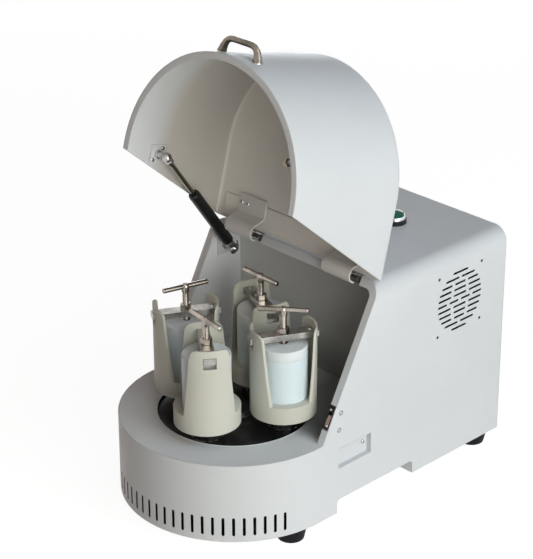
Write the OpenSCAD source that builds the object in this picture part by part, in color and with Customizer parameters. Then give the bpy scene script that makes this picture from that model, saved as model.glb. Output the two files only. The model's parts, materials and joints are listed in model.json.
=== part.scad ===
// Bench planetary ball mill with a tilting hood, drawn with the hood open.
// Lengths are in millimetres and angles in degrees. +Z is up and the drum faces -Y.

/* [Cabinet] */
// Width of the cabinet, which is also the diameter of the front drum
body_w = 300; // [280:1:320]
// Thickness of the cabinet and hood sheet
sheet = 1.5; // [1.2:0.1:2]
// Height of the rubber feet
foot_h = 20; // [14:1:26]
// Radius of a foot where it meets the base
foot_top_r = 21.5; // [14:0.5:22]
// Radius of a foot on the floor
foot_low_r = 17; // [9:0.5:18]
// Front feet, distance from the middle and from the drum axis
foot_front = [124.5, -22.5]; // [-60:0.5:130]
// Distance of the rear feet in from the rear panel
foot_rear_in = 23.5; // [22:0.5:40]
// Height of the deck above the lower edge of the cabinet
deck_h = 108.5; // [104:0.5:114]
// Height of the cabinet top above its lower edge
box_h = 298; // [290:1:310]
// Distance from the drum axis to the rear panel
rear_y = 350; // [340:1:370]
// Where the sloping front edge meets the deck, behind the drum axis
slope_low_y = 8; // [6:0.5:12]
// Where the sloping front edge meets the top, behind the drum axis
slope_top_y = 108; // [104:0.5:112]
// Radius of the long top edges
top_round = 20; // [14:1:26]
// Width of the frame flange round the sloping front
flange_w = 10.5; // [8:0.5:12]
// Face of the recessed wall behind the jars, from the drum axis
wall_y = 153; // [148:1:170]
// Diameter of the round hole in the deck
deck_hole_d = 200; // [194:1:204]
// Front and rear of the hand-hold tunnel under the cabinet
tunnel_y = [35, 177]; // [0:1:200]
// Height of the hand-hold tunnel
tunnel_h = 19; // [15:1:24]
// Corner radius of the tunnel mouth
tunnel_round = 6; // [3:1:9]
// Gap left round plates that sit inside the shell
panel_gap = 0.1; // [0.05:0.05:0.3]

/* [Openings in the cabinet] */
// Width of a drum vent slot
vent_w = 3.7; // [2:0.1:4]
// Length of a drum vent slot
vent_l = 26; // [18:0.5:30]
// Lower end of the drum vent slots above the cabinet edge
vent_z = 8.6; // [8:0.2:14]
// Angle between drum vent slots
vent_pitch = 5.05; // [4.8:0.05:5.2]
// Number of drum vent slots
vent_n = 29; // [15:2:31]
// Size of the square fan frame
fan_w = 92; // [88:1:96]
// Depth of the fan
fan_t = 25; // [20:1:30]
// Spacing of the fan screws
fan_pitch = 82.5; // [78:0.5:84]
// Radius of a fan screw hole
fan_screw_r = 1.6; // [1.2:0.1:2.2]
// Distance of the fan axis in from the rear panel
fan_in = 90; // [60:0.5:120]
// Depth of the fan axis below the cabinet top
fan_down = 72.5; // [66:0.5:90]
// Diameter of the slotted grille in front of the fan
grille_d = 85; // [76:1:86]
// Rows of grille slots above each other
grille_pitch = 8; // [7:0.1:8.2]
// Width of a grille slot
grille_w = 2.9; // [1.6:0.1:3.4]
// Bridge left between grille slots in a row
grille_bridge = 5; // [3:0.5:7]
// Side pocket, rear and lower corner
pocket_at = [36.5, 64.5]; // [20:0.5:100]
// Side pocket, length and height
pocket_size = [59.5, 29]; // [20:0.5:70]
// Depth of the side pocket
pocket_depth = 8; // [6:0.5:14]
// Radius of a flat screw head
screw_r = 2.6; // [2:0.1:3.2]
// Inlet on the rear panel, from the middle and above the cabinet edge
inlet_at = [-70, 84]; // [-110:1:110]
// Width and height of the inlet flange
inlet_size = [34, 28]; // [24:1:40]
// Width of the inlet flange that rests on the rear panel, all round
inlet_rim = 3; // [2:0.5:5]
// Height of the inlet flange behind the rear panel
inlet_t = 2.5; // [2:0.5:4]
// Length of the inlet body inside the cabinet
inlet_depth = 18; // [12:1:26]

/* [Controls] */
// Start button axis, from the middle and from the drum axis
button_at = [34, 260]; // [0:1:300]
// Radius of the button base
button_r = 15.5; // [14:0.5:18]
// Radius of the button lens
lens_r = 11.5; // [9:0.5:12.5]
// Travel of the button
button_travel = 2.5; // [1.5:0.5:4]
// Speed controller plate, length across and depth
controller_size = [104, 68]; // [80:1:110]
// Middle of the speed controller plate
controller_at = [-56, 245]; // [-70:1:300]
// Thickness of the controller plate above the cabinet top
controller_t = 4; // [3:0.5:6]
// Width of the controller plate that rests on the cabinet top, all round
controller_rim = 4; // [3:0.5:6]
// Depth of the controller box below the cabinet top
controller_depth = 48; // [30:1:60]
// Radius of the speed knob
knob_r = 11; // [8:0.5:14]
// Height of the speed knob
knob_h = 14; // [10:1:18]

/* [Hood] */
// Gap between the closed hood and the deck
hood_gap = 2.6; // [1.5:0.1:5]
// Rounding of the edge between the hood wall and its top
hood_edge_r = 6; // [4:0.5:9]
// Width of the lip round the hood mouth
lip_w = 9; // [6:0.5:12]
// Gap between the closed hood and the cabinet slope at the deck
hood_back_gap = 2.2; // [1.5:0.1:5]
// Gap between the closed hood and the cabinet slope at the top
hood_top_gap = 8.8; // [8.6:0.1:16]
// Hinge axis in front of the top front edge of the cabinet
hinge_fwd = 2.2; // [1:0.1:4]
// Hinge axis below the cabinet top
hinge_drop = 4; // [3.5:0.1:5]
// Angle between the closed hood and the open hood
hood_open = 104.6; // [95:0.1:108]
// Middles of the left and the right hinge arm across the cabinet
arm_x = [-84, 92]; // [-105:1:105]
// Width of a hinge arm
arm_w = 48; // [40:1:56]
// Thickness of the hinge arm strip
arm_t = 2; // [1.5:0.1:3]
// Mean radius of the round bend of a hinge arm
arm_bend_r = 10.5; // [9:0.5:12]
// Middle of that bend, in front of and above the hinge axis
arm_bend_at = [-8, 9.5]; // [-12:0.5:12]
// Length of the arm leaf on the hood
arm_leaf = 24; // [18:1:26]
// Radius of the hinge barrel
barrel_r = 4.5; // [4:0.1:5.5]
// Radius of the hinge pin
pin_r = 2.5; // [2:0.1:3]
// Depth of the stiffening strip inside the hood top
strip_w = 34; // [30:1:40]
// Spacing of the handle feet
handle_span = 62; // [56:1:80]
// Spacing of the handle corners, above the feet
handle_top = 49; // [42:1:54]
// Diameter of the handle bar
handle_d = 8; // [6:0.5:10]
// Diameter of the handle legs at their roots inside the hood
handle_root_d = 12.5; // [9:0.5:14]
// How much the round corners of the handle stand out, on the diameter
handle_weld = 0.4; // [0.2:0.1:0.8]
// Height of the handle bar axis above the hood
handle_h = 16; // [15:0.5:30]
// Distance of the handle from the hood mouth
handle_up = 22; // [18:0.5:60]
// Switch striker in the hood, how far it stands out, its length and its height
striker_size = [6, 17, 12]; // [4:0.5:24]
// Distance of the striker up the slope from the deck
striker_s = 40; // [30:1:48]
// Stud inside the hood, radius and length
hood_stud = [3.5, 9]; // [3:0.5:12]
// Height of that stud above the hood mouth
hood_stud_up = 9; // [7:0.5:20]
// Angle of that stud round the drum
hood_stud_turn = -23; // [-60:1:-10]

/* [Gas strut] */
// Distance of the strut from the inner face of the left wall
strut_in = 19.5; // [16:0.5:22]
// Lower strut pivot, behind the top of the slope and below the cabinet top
strut_low_in = [14, 46]; // [10:0.5:60]
// Upper strut pivot with the hood closed, behind the foot of the slope and above the hood mouth
strut_high_in = [6, 57.4]; // [2:0.1:70]
// Radius of the strut cylinder
strut_r = 7.8; // [5:0.1:8.2]
// Radius of the strut rod
rod_r = 3; // [2.5:0.1:4]
// Radius of the strut end balls
ball_r = 6.8; // [6:0.1:7.5]
// Radius of the strut studs
stud_r = 3.5; // [3:0.1:4.5]
// Rod that shows between the strut ends with the hood closed
strut_spare = 2.5; // [2:0.5:12]
// Gap round the strut where it passes the frame flange
strut_clear = 1.2; // [1:0.1:2]
// Size of the strut bracket plates
bracket_w = 24; // [18:1:30]
// Thickness of the strut bracket plates
bracket_t = 2.5; // [2:0.1:4]

/* [Jars] */
// Radius of the circle that the jars ride on
planet_r = 70.4; // [69:0.2:74]
// Angle of the first jar
planet_phase = -72.8; // [-90:0.1:90]
// Turn of each clamp bar about its jar
bar_turn = [-37, 62, -22, 60]; // [-180:1:180]
// Turn of each clamp handle
grip_turn = [-8, 39, -2, 73.5]; // [-180:0.5:180]
// Radius of a jar holder
holder_r = 42.5; // [40:0.5:44]
// Wall of the holder uprights
holder_wall = 2.5; // [2:0.25:7]
// Underside of the holders above the deck
holder_lift = 16; // [12:0.5:20]
// Height of the holder collar
collar_h = 23; // [18:0.5:28]
// Thickness of the holder floor
holder_floor = 6; // [5:0.5:9]
// Height of the holder uprights
upright_h = 118; // [112:0.5:124]
// Half width of an upright at its foot and at its top
upright_half = [34.5, 24.5]; // [16:0.5:38]
// Rounding of the upright corners
upright_round = 9; // [5:0.5:12]
// Width of the window in an upright
window_w = 16.8; // [16.5:0.1:20]
// Height of the window in an upright
window_h = 15.5; // [13:0.5:18]
// Metal left above the window
window_top = 9.5; // [7:0.5:14]
// Radius of a jar
jar_r = 31; // [28:0.5:33]
// Wall of a jar
jar_wall = 5; // [3:0.5:8]
// Height of a jar without its lid
jar_h = 76; // [70:1:78]
// Height of a jar lid
lid_h = 13; // [10:0.5:14]
// Gap round a jar in its holder
jar_gap = 0.5; // [0.3:0.1:1]
// Width of a clamp bar
bar_w = 16; // [14:0.5:16.2]
// Thickness of a clamp bar
bar_t = 8; // [6:0.5:9]
// Length of a clamp bar
bar_l = 89; // [86:1:98]
// Radius of a clamp screw
clamp_r = 4; // [3:0.25:5]
// Height of the clamp handle above the top of its bar
grip_up = 32; // [28:0.5:40]
// Length of a clamp handle
grip_l = 61; // [50:1:70]
// Radius of a clamp handle
grip_r = 3.3; // [2:0.1:4]
// Radius of the lock nut on a clamp screw
nut_r = 7.5; // [6:0.5:9]
// Height of the lock nut on a clamp screw
nut_h = 7; // [5:0.5:9]

/* [Drive] */
// Radius of the turntable disc
disc_r = 106; // [104:0.5:112]
// Thickness of the turntable disc
disc_t = 12; // [8:0.5:14]
// Gap between the deck underside and the turntable disc
disc_gap = 2.5; // [1.5:0.5:4]
// Radius of a bearing boss on the turntable disc
boss_r = 20; // [16:0.5:22]
// Radius of the main shaft
shaft_r = 10; // [8:0.5:12]
// Radius of a jar spindle
spindle_r = 8; // [6:0.5:9]
// Radius of the fixed middle pulley
sun_r = 36; // [30:1:38]
// Radius of a jar pulley
planet_pulley_r = 18; // [15:0.5:20]
// Radius of the main pulley
main_pulley_r = 45; // [40:1:50]
// Radius of the motor pulley
motor_pulley_r = 22; // [18:1:26]
// Radius of the motor shaft
motor_shaft_r = 8; // [6:0.5:9]
// Radius of the motor body
motor_r = 55; // [45:1:60]
// Height of the motor body
motor_h = 150; // [120:1:160]
// Motor axis behind the drum axis
motor_y = 255; // [245:1:265]
// Thickness of the belts
belt_t = 3; // [2:0.5:4]
// Height of the belts
belt_h = 8; // [6:0.5:8]
// Height of the pulleys, rims included
pulley_h = 12; // [11:0.5:13]
// Gap between the turntable disc and the upper jar pulleys
disc_under_gap = 2; // [1:0.5:3]
// Gap between the two layers of jar pulleys
layer_gap = 1.5; // [1:0.5:3]
// Gap between a belt and its pulley
belt_gap = 0.4; // [0.3:0.1:0.8]
// Mounting plate, thickness
plate_t = 6; // [4:0.5:8]
// Mounting plate, underside above the cabinet edge
plate_z = 44; // [40:1:48]
// Half width of the mounting plate
plate_half = 108; // [100:1:112]
// Radius of the bearing housing in the mounting plate
spigot_r = 24; // [20:0.5:28]
// Thickness of the bearing flange on the mounting plate
bearing_flange_t = 3; // [2:0.5:3.5]
// Radius of the cap that holds the disc on the main shaft
hub_r = 24; // [20:0.5:26]
// Height of that cap
hub_h = 6; // [4:0.5:8]
// Radius and height of the nut on the cap
hub_nut = [9, 6]; // [4:0.5:12]
// Radius of the pillars under the mounting plate
pillar_r = 8; // [6:0.5:10]
// Running gap on a radius
run_gap = 0.06; // [0.02:0.01:0.1]

/* [Hidden] */
$fn = 64;

eps = 0.01;
far = 1000;
drum_r = body_w / 2;
inside_r = drum_r - sheet;
fit_r = inside_r - panel_gap;
// Middle of the whole object from front to back, measured from the drum axis
origin_y = (rear_y + inlet_t - drum_r) / 2;
slope_rise = box_h - deck_h;
slope_run = slope_top_y - slope_low_y;
slope_angle = atan2(slope_run, slope_rise);
mouth_z = deck_h + hood_gap;
hood_low_y = slope_low_y - hood_back_gap;
hood_top_y = slope_top_y - hood_top_gap;
hinge_y = slope_top_y - hinge_fwd;
hinge_z = box_h - hinge_drop;
hinge_cut = 2;
knuckle_w = 12;
disc_top = deck_h - sheet - disc_gap;
disc_low = disc_top - disc_t;
holder_z = deck_h + holder_lift;
spindle_flange_t = 5.5;
spindle_flange_gap = 1;
jar_z = holder_z + holder_floor;
lid_z = jar_z + jar_h;
window_low = upright_h - window_top - window_h;
bar_z = holder_z + upright_h - window_top - bar_t;
fan_at = [rear_y - fan_in, box_h - fan_down];
plate_top = plate_z + plate_t;
main_pulley_z = plate_z - 6 - pulley_h;
rim_t = 1.5;
rim_r = 2.5;
belt_in = (pulley_h - belt_h) / 2;
// Undersides of the lower and the upper jar pulleys
planet_low_z = [for (layer = [2, 1]) disc_low - disc_under_gap - layer * pulley_h - (layer - 1) * layer_gap];
housing_top = planet_low_z[0] - 1;
sun_top = disc_low - 0.5;
green = [0.05, 0.42, 0.27];
paint = [0.86, 0.88, 0.89];
cream = [0.80, 0.79, 0.71];
steel = [0.72, 0.72, 0.72];
black = [0.06, 0.06, 0.07];
grey = [0.45, 0.46, 0.48];

// Puts the parts over the middle of the object, with the floor at zero height
module placed() translate([0, -origin_y, foot_h]) children();

// Extrudes a shape drawn in Y and Z along X, from x0 to x1
module across(x0, x1) translate([x0, 0, 0]) rotate([90, 0, 90]) linear_extrude(x1 - x0) children();

// Extrudes a shape drawn in X and Z along Y, from y0 to y1
module along(y0, y1) translate([0, y1, 0]) rotate([90, 0, 0]) linear_extrude(y1 - y0) children();

// Copies a shape to the left and the right
module both_sides() for (side = [0, 1]) mirror([side, 0, 0]) children();

// Turns hood pieces from the closed place to the open place
module opened()
  translate([0, hinge_y, hinge_z]) rotate([-hood_open, 0, 0])
    translate([0, -hinge_y, -hinge_z]) children();

// Straight strip from p to q
module strip_2d(p, q, t)
  translate(p) rotate(atan2(q.y - p.y, q.x - p.x)) translate([0, -t / 2])
    square([norm(q - p), t]);

// Round ended slot, standing along the second axis
module slot_2d(l, w) {
  translate([-w / 2, w / 2]) square([w, l - w]);
  for (y = [w / 2, l - w / 2]) translate([0, y]) circle(d = w);
}

// Rectangle with its two upper corners rounded
module arch_2d(half, h, r) {
  translate([-half, 0]) square([2 * half, h - r]);
  translate([r - half, h - r]) square([2 * (half - r), r]);
  for (side = [-1, 1])
    translate([side * (half - r), h - r]) intersection() {
      circle(r);
      translate([side < 0 ? -r : 0, 0]) square(r);
    }
}

// Plan of the drum and the straight sides behind it
module plan_2d(r, back) {
  intersection() {
    circle(r, $fn = 128);
    translate([-r, -r]) square([2 * r, r]);
  }
  translate([-r, 0]) square([2 * r, back]);
}

// Flat headed screw let into a sheet on the right side
module flat_screw_at(y, z, grow) {
  translate([drum_r - sheet, y, z]) rotate([0, 90, 0])
    cylinder(r1 = screw_r - 0.6 + grow, r2 = screw_r + grow, h = sheet + (grow > 0 ? eps : 0));
}

// Points along the slope from the deck, and behind the slope
function slope_point(s, n) = [
  slope_low_y + s * sin(slope_angle) + n * cos(slope_angle),
  deck_h + s * cos(slope_angle) - n * sin(slope_angle)
];

// Switch beside the slope, where it starts and ends along the slope
switch_s = [20.5, 48.5];
switch_screws = [slope_point(46, 12), slope_point(24, 20)];
switch_depth = 20;
pocket_screw_in = 8;

// Band of the slope between two heights, from its face to a depth behind it
module slope_band_2d(s0, s1, n0, n1)
  polygon([slope_point(s0, n0), slope_point(s1, n0), slope_point(s1, n1), slope_point(s0, n1)]);

// Cabinet behind the slope, from a depth below the deck up to the top
module rear_block(below) intersection() {
  along(0, rear_y) arch_2d(drum_r, box_h, top_round);
  across(-drum_r, drum_r) polygon([
    [slope_low_y, deck_h - below], [slope_low_y, deck_h], [slope_top_y, box_h],
    [rear_y + 1, box_h], [rear_y + 1, deck_h - below]
  ]);
}

module slope_flange() difference() {
  intersection() {
    rear_block(0);
    across(-drum_r, drum_r) slope_band_2d(0, far, 0, sheet);
  }
  along(0, rear_y) arch_2d(drum_r - flange_w, box_h - flange_w, top_round - flange_w);
  across(drum_r - flange_w - 1, inside_r) slope_band_2d(switch_s[0] - 1, switch_s[1] + 4, -1, sheet + 1);
}

module grille_cut() {
  counts = [1, 2, 3, 3, 3, 4, 3, 3, 3, 2, 1];
  rows = len(counts);
  for (row = [0:rows - 1]) {
    z = (row - (rows - 1) / 2) * grille_pitch;
    chord = 2 * sqrt(max(pow(grille_d / 2, 2) - z * z, pow(2 * grille_w, 2)));
    n = counts[row];
    l = (chord - (n - 1) * grille_bridge) / n;
    for (k = [0:n - 1])
      translate([inside_r - 1, fan_at.x - chord / 2 + k * (l + grille_bridge), fan_at.y + z])
        rotate([90, 0, 90]) linear_extrude(sheet + 2) rotate(-90) slot_2d(l, grille_w);
  }
}

module fan_places()
  for (dy = [-1, 1], dz = [-1, 1])
    translate([0, fan_at.x + dy * fan_pitch / 2, fan_at.y + dz * fan_pitch / 2]) children();

module housing_shell() placed() color(paint) {
  difference() {
    union() {
      linear_extrude(deck_h) plan_2d(drum_r, rear_y);
      rear_block(sheet);
    }
    translate([0, 0, -1]) linear_extrude(deck_h + 2) plan_2d(inside_r, rear_y + 1);
    along(0, rear_y + 1) arch_2d(inside_r, box_h - sheet, top_round - sheet);
    for (k = [0:vent_n - 1])
      rotate([0, 0, (k - (vent_n - 1) / 2) * vent_pitch]) translate([0, -inside_r + 4, vent_z])
        rotate([90, 0, 0]) linear_extrude(sheet + 8) slot_2d(vent_l, vent_w);
    across(-drum_r - 1, drum_r + 1) translate([(tunnel_y[0] + tunnel_y[1]) / 2, -tunnel_round])
      arch_2d((tunnel_y[1] - tunnel_y[0]) / 2, tunnel_h + tunnel_round, tunnel_round);
    grille_cut();
    fan_places() translate([inside_r - 1, 0, 0]) rotate([0, 90, 0]) cylinder(r = fan_screw_r, h = sheet + 2);
    for (p = switch_screws) flat_screw_at(p.x, p.y, panel_gap);
    translate([inside_r - 1, pocket_at.x, pocket_at.y]) cube([sheet + 2, pocket_size.x, pocket_size.y]);
    translate([button_at.x, button_at.y, box_h - sheet - 1]) cylinder(r = button_r - 3, h = sheet + 2);
    translate([controller_at.x, controller_at.y, box_h])
      cube([controller_box.x, controller_box.y, 4 * sheet], center = true);
    hinge_cuts();
  }
  difference() {
    slope_flange();
    hinge_cuts();
    on_strut() rotate([0, 90, 0]) cylinder(r = strut_r + strut_clear, h = strut_len);
  }
  pocket();
}

// Cut-outs in the top front edge for the hinges
module hinge_cuts() {
  half = arm_w / 2 + hinge_cut;
  for (x = arm_x) translate([x - half, hinge_y - 3 * barrel_r, hinge_z - 4 * barrel_r])
    cube([2 * half, 3 * barrel_r + barrel_r + 3.5, 4 * barrel_r + hinge_drop + 1]);
}

// Sunk pocket in the right side panel
module pocket() difference() {
  translate([drum_r - pocket_depth - sheet, pocket_at.x - sheet, pocket_at.y - sheet])
    cube([pocket_depth + sheet / 2, pocket_size.x + 2 * sheet, pocket_size.y + 2 * sheet]);
  translate([drum_r - pocket_depth, pocket_at.x, pocket_at.y])
    cube([pocket_depth + 1, pocket_size.x, pocket_size.y]);
}

module deck_plate() placed() color(paint)
  translate([0, 0, deck_h - sheet]) linear_extrude(sheet) difference() {
    plan_2d(fit_r, wall_y + sheet);
    circle(d = deck_hole_d, $fn = 128);
  }

module inner_wall() placed() color(paint)
  intersection() {
    along(wall_y, wall_y + sheet) arch_2d(fit_r, box_h - sheet - panel_gap, top_round - sheet - panel_gap);
    translate([-far, -far, deck_h]) cube(2 * far);
  }

module rear_panel() placed() color(paint)
  difference() {
    along(rear_y - sheet, rear_y) arch_2d(fit_r, box_h - sheet - panel_gap, top_round - sheet - panel_gap);
    translate([inlet_at.x, rear_y, inlet_at.y])
      cube([inlet_size.x - 2 * inlet_rim, 4 * sheet, inlet_size.y - 2 * inlet_rim], center = true);
  }

module base_plate() placed() color(paint) {
  rise = tunnel_h + sheet;
  linear_extrude(sheet) intersection() {
    plan_2d(fit_r, rear_y - sheet - panel_gap);
    translate([-far, -far]) square([2 * far, far + tunnel_y[0]]);
  }
  translate([-fit_r, tunnel_y[1], 0])
    cube([2 * fit_r, rear_y - sheet - panel_gap - tunnel_y[1], sheet]);
  translate([-fit_r, tunnel_y[0] - sheet, tunnel_h])
    cube([2 * fit_r, tunnel_y[1] - tunnel_y[0] + 2 * sheet, sheet]);
  for (y = [tunnel_y[0] - sheet, tunnel_y[1]])
    translate([-fit_r, y, 0]) cube([2 * fit_r, sheet, rise]);
}

module feet() placed() color(black)
  both_sides() for (p = [foot_front, [foot_front.x, rear_y - foot_rear_in]])
    translate([p.x, p.y, -foot_h]) cylinder(r1 = foot_low_r, r2 = foot_top_r, h = foot_h);

// Pillars stand in front of and behind the tunnel
pillar_x = 92;
pillar_ys = [-68, tunnel_y[0] - sheet - pillar_r - 4, tunnel_y[1] + sheet + pillar_r + 4, rear_y - 28];
plate_front = -82;
plate_back = rear_y - 14;
spigot_gap = 0.3;
motor_hole_r = motor_shaft_r + 14;

module mounting_plate() placed() color(grey) difference() {
  translate([-plate_half, plate_front, plate_z]) cube([2 * plate_half, plate_back - plate_front, plate_t]);
  translate([0, 0, plate_z - 1]) cylinder(r = spigot_r + spigot_gap, h = plate_t + 2);
  translate([0, motor_y, plate_z - 1]) cylinder(r = motor_hole_r, h = plate_t + 2);
}

module support_pillars() placed() color(steel)
  both_sides() for (y = pillar_ys)
    translate([pillar_x, y, sheet]) cylinder(r = pillar_r, h = plate_z - sheet);

module bearing_housing() placed() color(grey) difference() {
  union() {
    translate([0, 0, plate_z]) cylinder(r = spigot_r, h = housing_top - plate_z);
    translate([0, 0, plate_top]) cylinder(r = 2 * spigot_r, h = bearing_flange_t);
  }
  translate([0, 0, plate_z - 1]) cylinder(r = shaft_r + run_gap, h = far);
}

module sun_pulley() placed() color(steel) difference() {
  union() {
    translate([0, 0, housing_top]) cylinder(r = sun_r, h = sun_top - housing_top);
    for (z = planet_low_z) translate([0, 0, z]) cylinder(r = sun_r + rim_r, h = rim_t);
  }
  translate([0, 0, housing_top - 1]) cylinder(r = shaft_r + belt_gap, h = far);
}

module motor() placed() color(grey) difference() {
  translate([0, motor_y, plate_top]) {
    translate([-motor_r, -motor_r, 0]) cube([2 * motor_r, 2 * motor_r, 8]);
    cylinder(r = motor_r - 2, h = motor_h);
    for (k = [0:11]) rotate([0, 0, 15 + 30 * k]) translate([motor_r - 6, -1.5, 8]) cube([6, 3, motor_h - 38]);
    translate([0, 0, motor_h - 26]) cylinder(r = motor_r + 1, h = 26);
    translate([-motor_r - 26, -24, 42]) cube([30, 48, 62]);
  }
  translate([0, motor_y, plate_top - 1]) cylinder(r = motor_shaft_r + run_gap, h = 46);
}

// Pulley with a rim at each end
module pulley(r, bore) difference() {
  union() {
    cylinder(r = r, h = pulley_h);
    for (z = [0, pulley_h - rim_t]) translate([0, 0, z]) cylinder(r = r + rim_r, h = rim_t);
  }
  translate([0, 0, -1]) cylinder(r = bore, h = pulley_h + 2);
}

// Belt round a row of pulleys, given as places along Y and radii
module belt(places, radii) linear_extrude(belt_h) difference() {
  hull() for (k = [0:len(places) - 1])
    translate([0, places[k]]) circle(radii[k] + belt_gap + belt_t, $fn = 48);
  hull() for (k = [0:len(places) - 1])
    translate([0, places[k]]) circle((radii[k] + belt_gap) / cos(180 / 48), $fn = 48);
}

module drive_belt() placed() color(black)
  translate([0, 0, main_pulley_z + belt_in])
    belt([0, motor_y], [main_pulley_r, motor_pulley_r]);

module fan_frame() placed() color(black) {
  x0 = inside_r - fan_t;
  translate([x0, fan_at.x, fan_at.y]) {
    difference() {
      translate([0, -fan_w / 2, -fan_w / 2]) cube([fan_t, fan_w, fan_w]);
      rotate([0, 90, 0]) translate([0, 0, -1]) cylinder(d = fan_w - 5, h = fan_t + 2);
      for (dy = [-1, 1], dz = [-1, 1])
        translate([-1, dy * fan_pitch / 2, dz * fan_pitch / 2]) rotate([0, 90, 0])
          cylinder(r = fan_screw_r, h = fan_t + 2);
    }
    rotate([0, 90, 0]) cylinder(r = 16, h = 3);
    translate([1, 0, 0]) rotate([0, 90, 0]) cylinder(r = 2, h = 15);
    for (a = [45:90:315]) rotate([a, 0, 0]) translate([0.5, -2, 12]) cube([2, 4, fan_w / 2 - 13.5]);
  }
}

module fan_impeller() placed() color(black)
  translate([inside_r - fan_t + 4, fan_at.x, fan_at.y]) rotate([0, 90, 0]) difference() {
    union() {
      cylinder(r = 18, h = 16);
      intersection() {
        for (a = [0:7]) rotate([0, 0, a * 45]) translate([16, 0, 8]) rotate([40, 0, 0])
          translate([0, -9, -0.8]) cube([30, 18, 1.6]);
        cylinder(d = fan_w - 8, h = 16);
      }
    }
    translate([0, 0, -1]) cylinder(r = 2 + run_gap, h = 14);
  }

button_base_h = 5.5;
button_ring_h = 5;

module button_body() placed() color(black)
  translate([button_at.x, button_at.y, box_h]) difference() {
    union() {
      cylinder(r = button_r, h = button_base_h);
      translate([0, 0, -32]) cylinder(r = button_r - 3.2, h = 32);
    }
    translate([0, 0, -6]) cylinder(r = lens_r + 0.3, h = far);
  }

module button_ring() placed() color(steel)
  translate([button_at.x, button_at.y, box_h + button_base_h]) difference() {
    cylinder(r = button_r - 1, h = button_ring_h);
    translate([0, 0, -1]) cylinder(r = lens_r + 0.3, h = far);
  }

module button_cap() placed() color(green)
  translate([button_at.x, button_at.y, box_h]) {
    translate([0, 0, button_travel - 5.7]) cylinder(r = lens_r, h = button_base_h + button_ring_h + 5.7);
    translate([0, 0, button_base_h + button_ring_h + button_travel]) intersection() {
      translate([0, 0, 3 - 2 * lens_r]) sphere(2 * lens_r);
      cylinder(r = lens_r, h = far);
    }
  }

// Hole for the controller box in the cabinet top
controller_box = [controller_size.x - 2 * controller_rim, controller_size.y - 2 * controller_rim];
controller_gap = 0.3;
knob_at = [controller_at.x + controller_size.x / 2 - knob_r - 8, controller_at.y - 8];

module speed_controller() placed() color(black) difference() {
  translate([controller_at.x, controller_at.y, box_h]) {
    box = controller_box - 2 * [controller_gap, controller_gap];
    translate([-controller_size.x / 2, -controller_size.y / 2, 0])
      cube([controller_size.x, controller_size.y, controller_t]);
    translate([-box.x / 2, -box.y / 2, -controller_depth]) cube([box.x, box.y, controller_depth + eps]);
  }
  translate([controller_at.x - controller_size.x / 2 + 8, controller_at.y + 4, box_h + controller_t - 1.2])
    cube([controller_size.x * 0.55, controller_size.y / 2 - 12, 2]);
  translate([knob_at.x, knob_at.y, box_h - 6]) cylinder(r = 3 + run_gap, h = far);
}

module speed_knob() placed() color(grey)
  translate([knob_at.x, knob_at.y, box_h + controller_t + 0.3]) {
    difference() {
      cylinder(r = knob_r, h = knob_h);
      translate([-0.6, knob_r - 5, knob_h - 1]) cube([1.2, 6, 2]);
    }
    translate([0, 0, -8]) cylinder(r = 3, h = 8.5);
  }

inlet_gap = 0.3;
inlet_wall = 2.2;
inlet_floor = 3;

// Block in the inlet, set in from the edges of its flange and sunk to a depth
module inlet_box(inset, depth, l)
  translate([inset - inlet_size.x / 2, -depth, inset - inlet_size.y / 2])
    cube([inlet_size.x - 2 * inset, l, inlet_size.y - 2 * inset]);

module power_inlet() placed() color(black)
  translate([inlet_at.x, rear_y, inlet_at.y]) difference() {
    union() {
      translate([-inlet_size.x / 2, 0, -inlet_size.y / 2]) cube([inlet_size.x, inlet_t, inlet_size.y]);
      inlet_box(inlet_rim + inlet_gap, inlet_depth, inlet_depth + eps);
    }
    inlet_box(inlet_rim + inlet_gap + inlet_wall, inlet_depth - inlet_floor, far);
  }

module safety_switch() placed() color(black) difference() {
  across(drum_r - flange_w - 2, inside_r - panel_gap)
    slope_band_2d(switch_s[0], switch_s[1], 0.4, switch_depth);
  across(drum_r - flange_w + 1, inside_r - 3) slope_band_2d(switch_s[0] + 5, switch_s[1] - 5, -1, 8);
}

strut_x = -inside_r + strut_in;
strut_low = [slope_top_y + strut_low_in.x, box_h - strut_low_in.y];
strut_high = [slope_low_y + strut_high_in.x, mouth_z + strut_high_in.y];
arm_reach = norm([strut_high.x - hinge_y, strut_high.y - hinge_z]);
closed_angle = atan2(strut_high.y - hinge_z, strut_high.x - hinge_y);
strut_top = [
  hinge_y + arm_reach * cos(closed_angle - hood_open),
  hinge_z + arm_reach * sin(closed_angle - hood_open)
];
strut_len = norm(strut_top - strut_low);
strut_angle = atan2(strut_top.y - strut_low.y, strut_top.x - strut_low.x);
strut_stroke = strut_len - norm(strut_high - strut_low);
strut_gap = 0.3;
strut_neck = 12;
strut_tube = norm(strut_high - strut_low) - 2 * strut_neck - strut_spare;

// Bracket plate on a left wall with a stud towards the strut
module strut_stud(reach) {
  translate([-inside_r + panel_gap, -bracket_w / 2, -bracket_w / 2]) cube([bracket_t, bracket_w, bracket_w]);
  translate([-inside_r + bracket_t, 0, 0]) rotate([0, 90, 0]) cylinder(r = stud_r, h = reach - bracket_t);
}

module strut_bracket_lower() placed() color(steel)
  translate([0, strut_low.x, strut_low.y]) strut_stud(strut_in + ball_r - 1);

module strut_bracket_upper() placed() color(steel)
  opened() translate([0, strut_high.x, strut_high.y]) strut_stud(strut_in - ball_r + 1 - strut_gap);

// Places a shape drawn along X on the strut line, starting at the lower ball
module on_strut()
  translate([strut_x, strut_low.x, strut_low.y]) rotate([strut_angle, 0, 0]) rotate([0, 0, 90]) children();

// Ball with two flats, turned about the stud axis
module strut_ball() rotate([90, 0, 0]) rotate_extrude() intersection() {
  circle(ball_r);
  translate([0, 1 - ball_r]) square([ball_r, 2 * ball_r - 2]);
}

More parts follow.
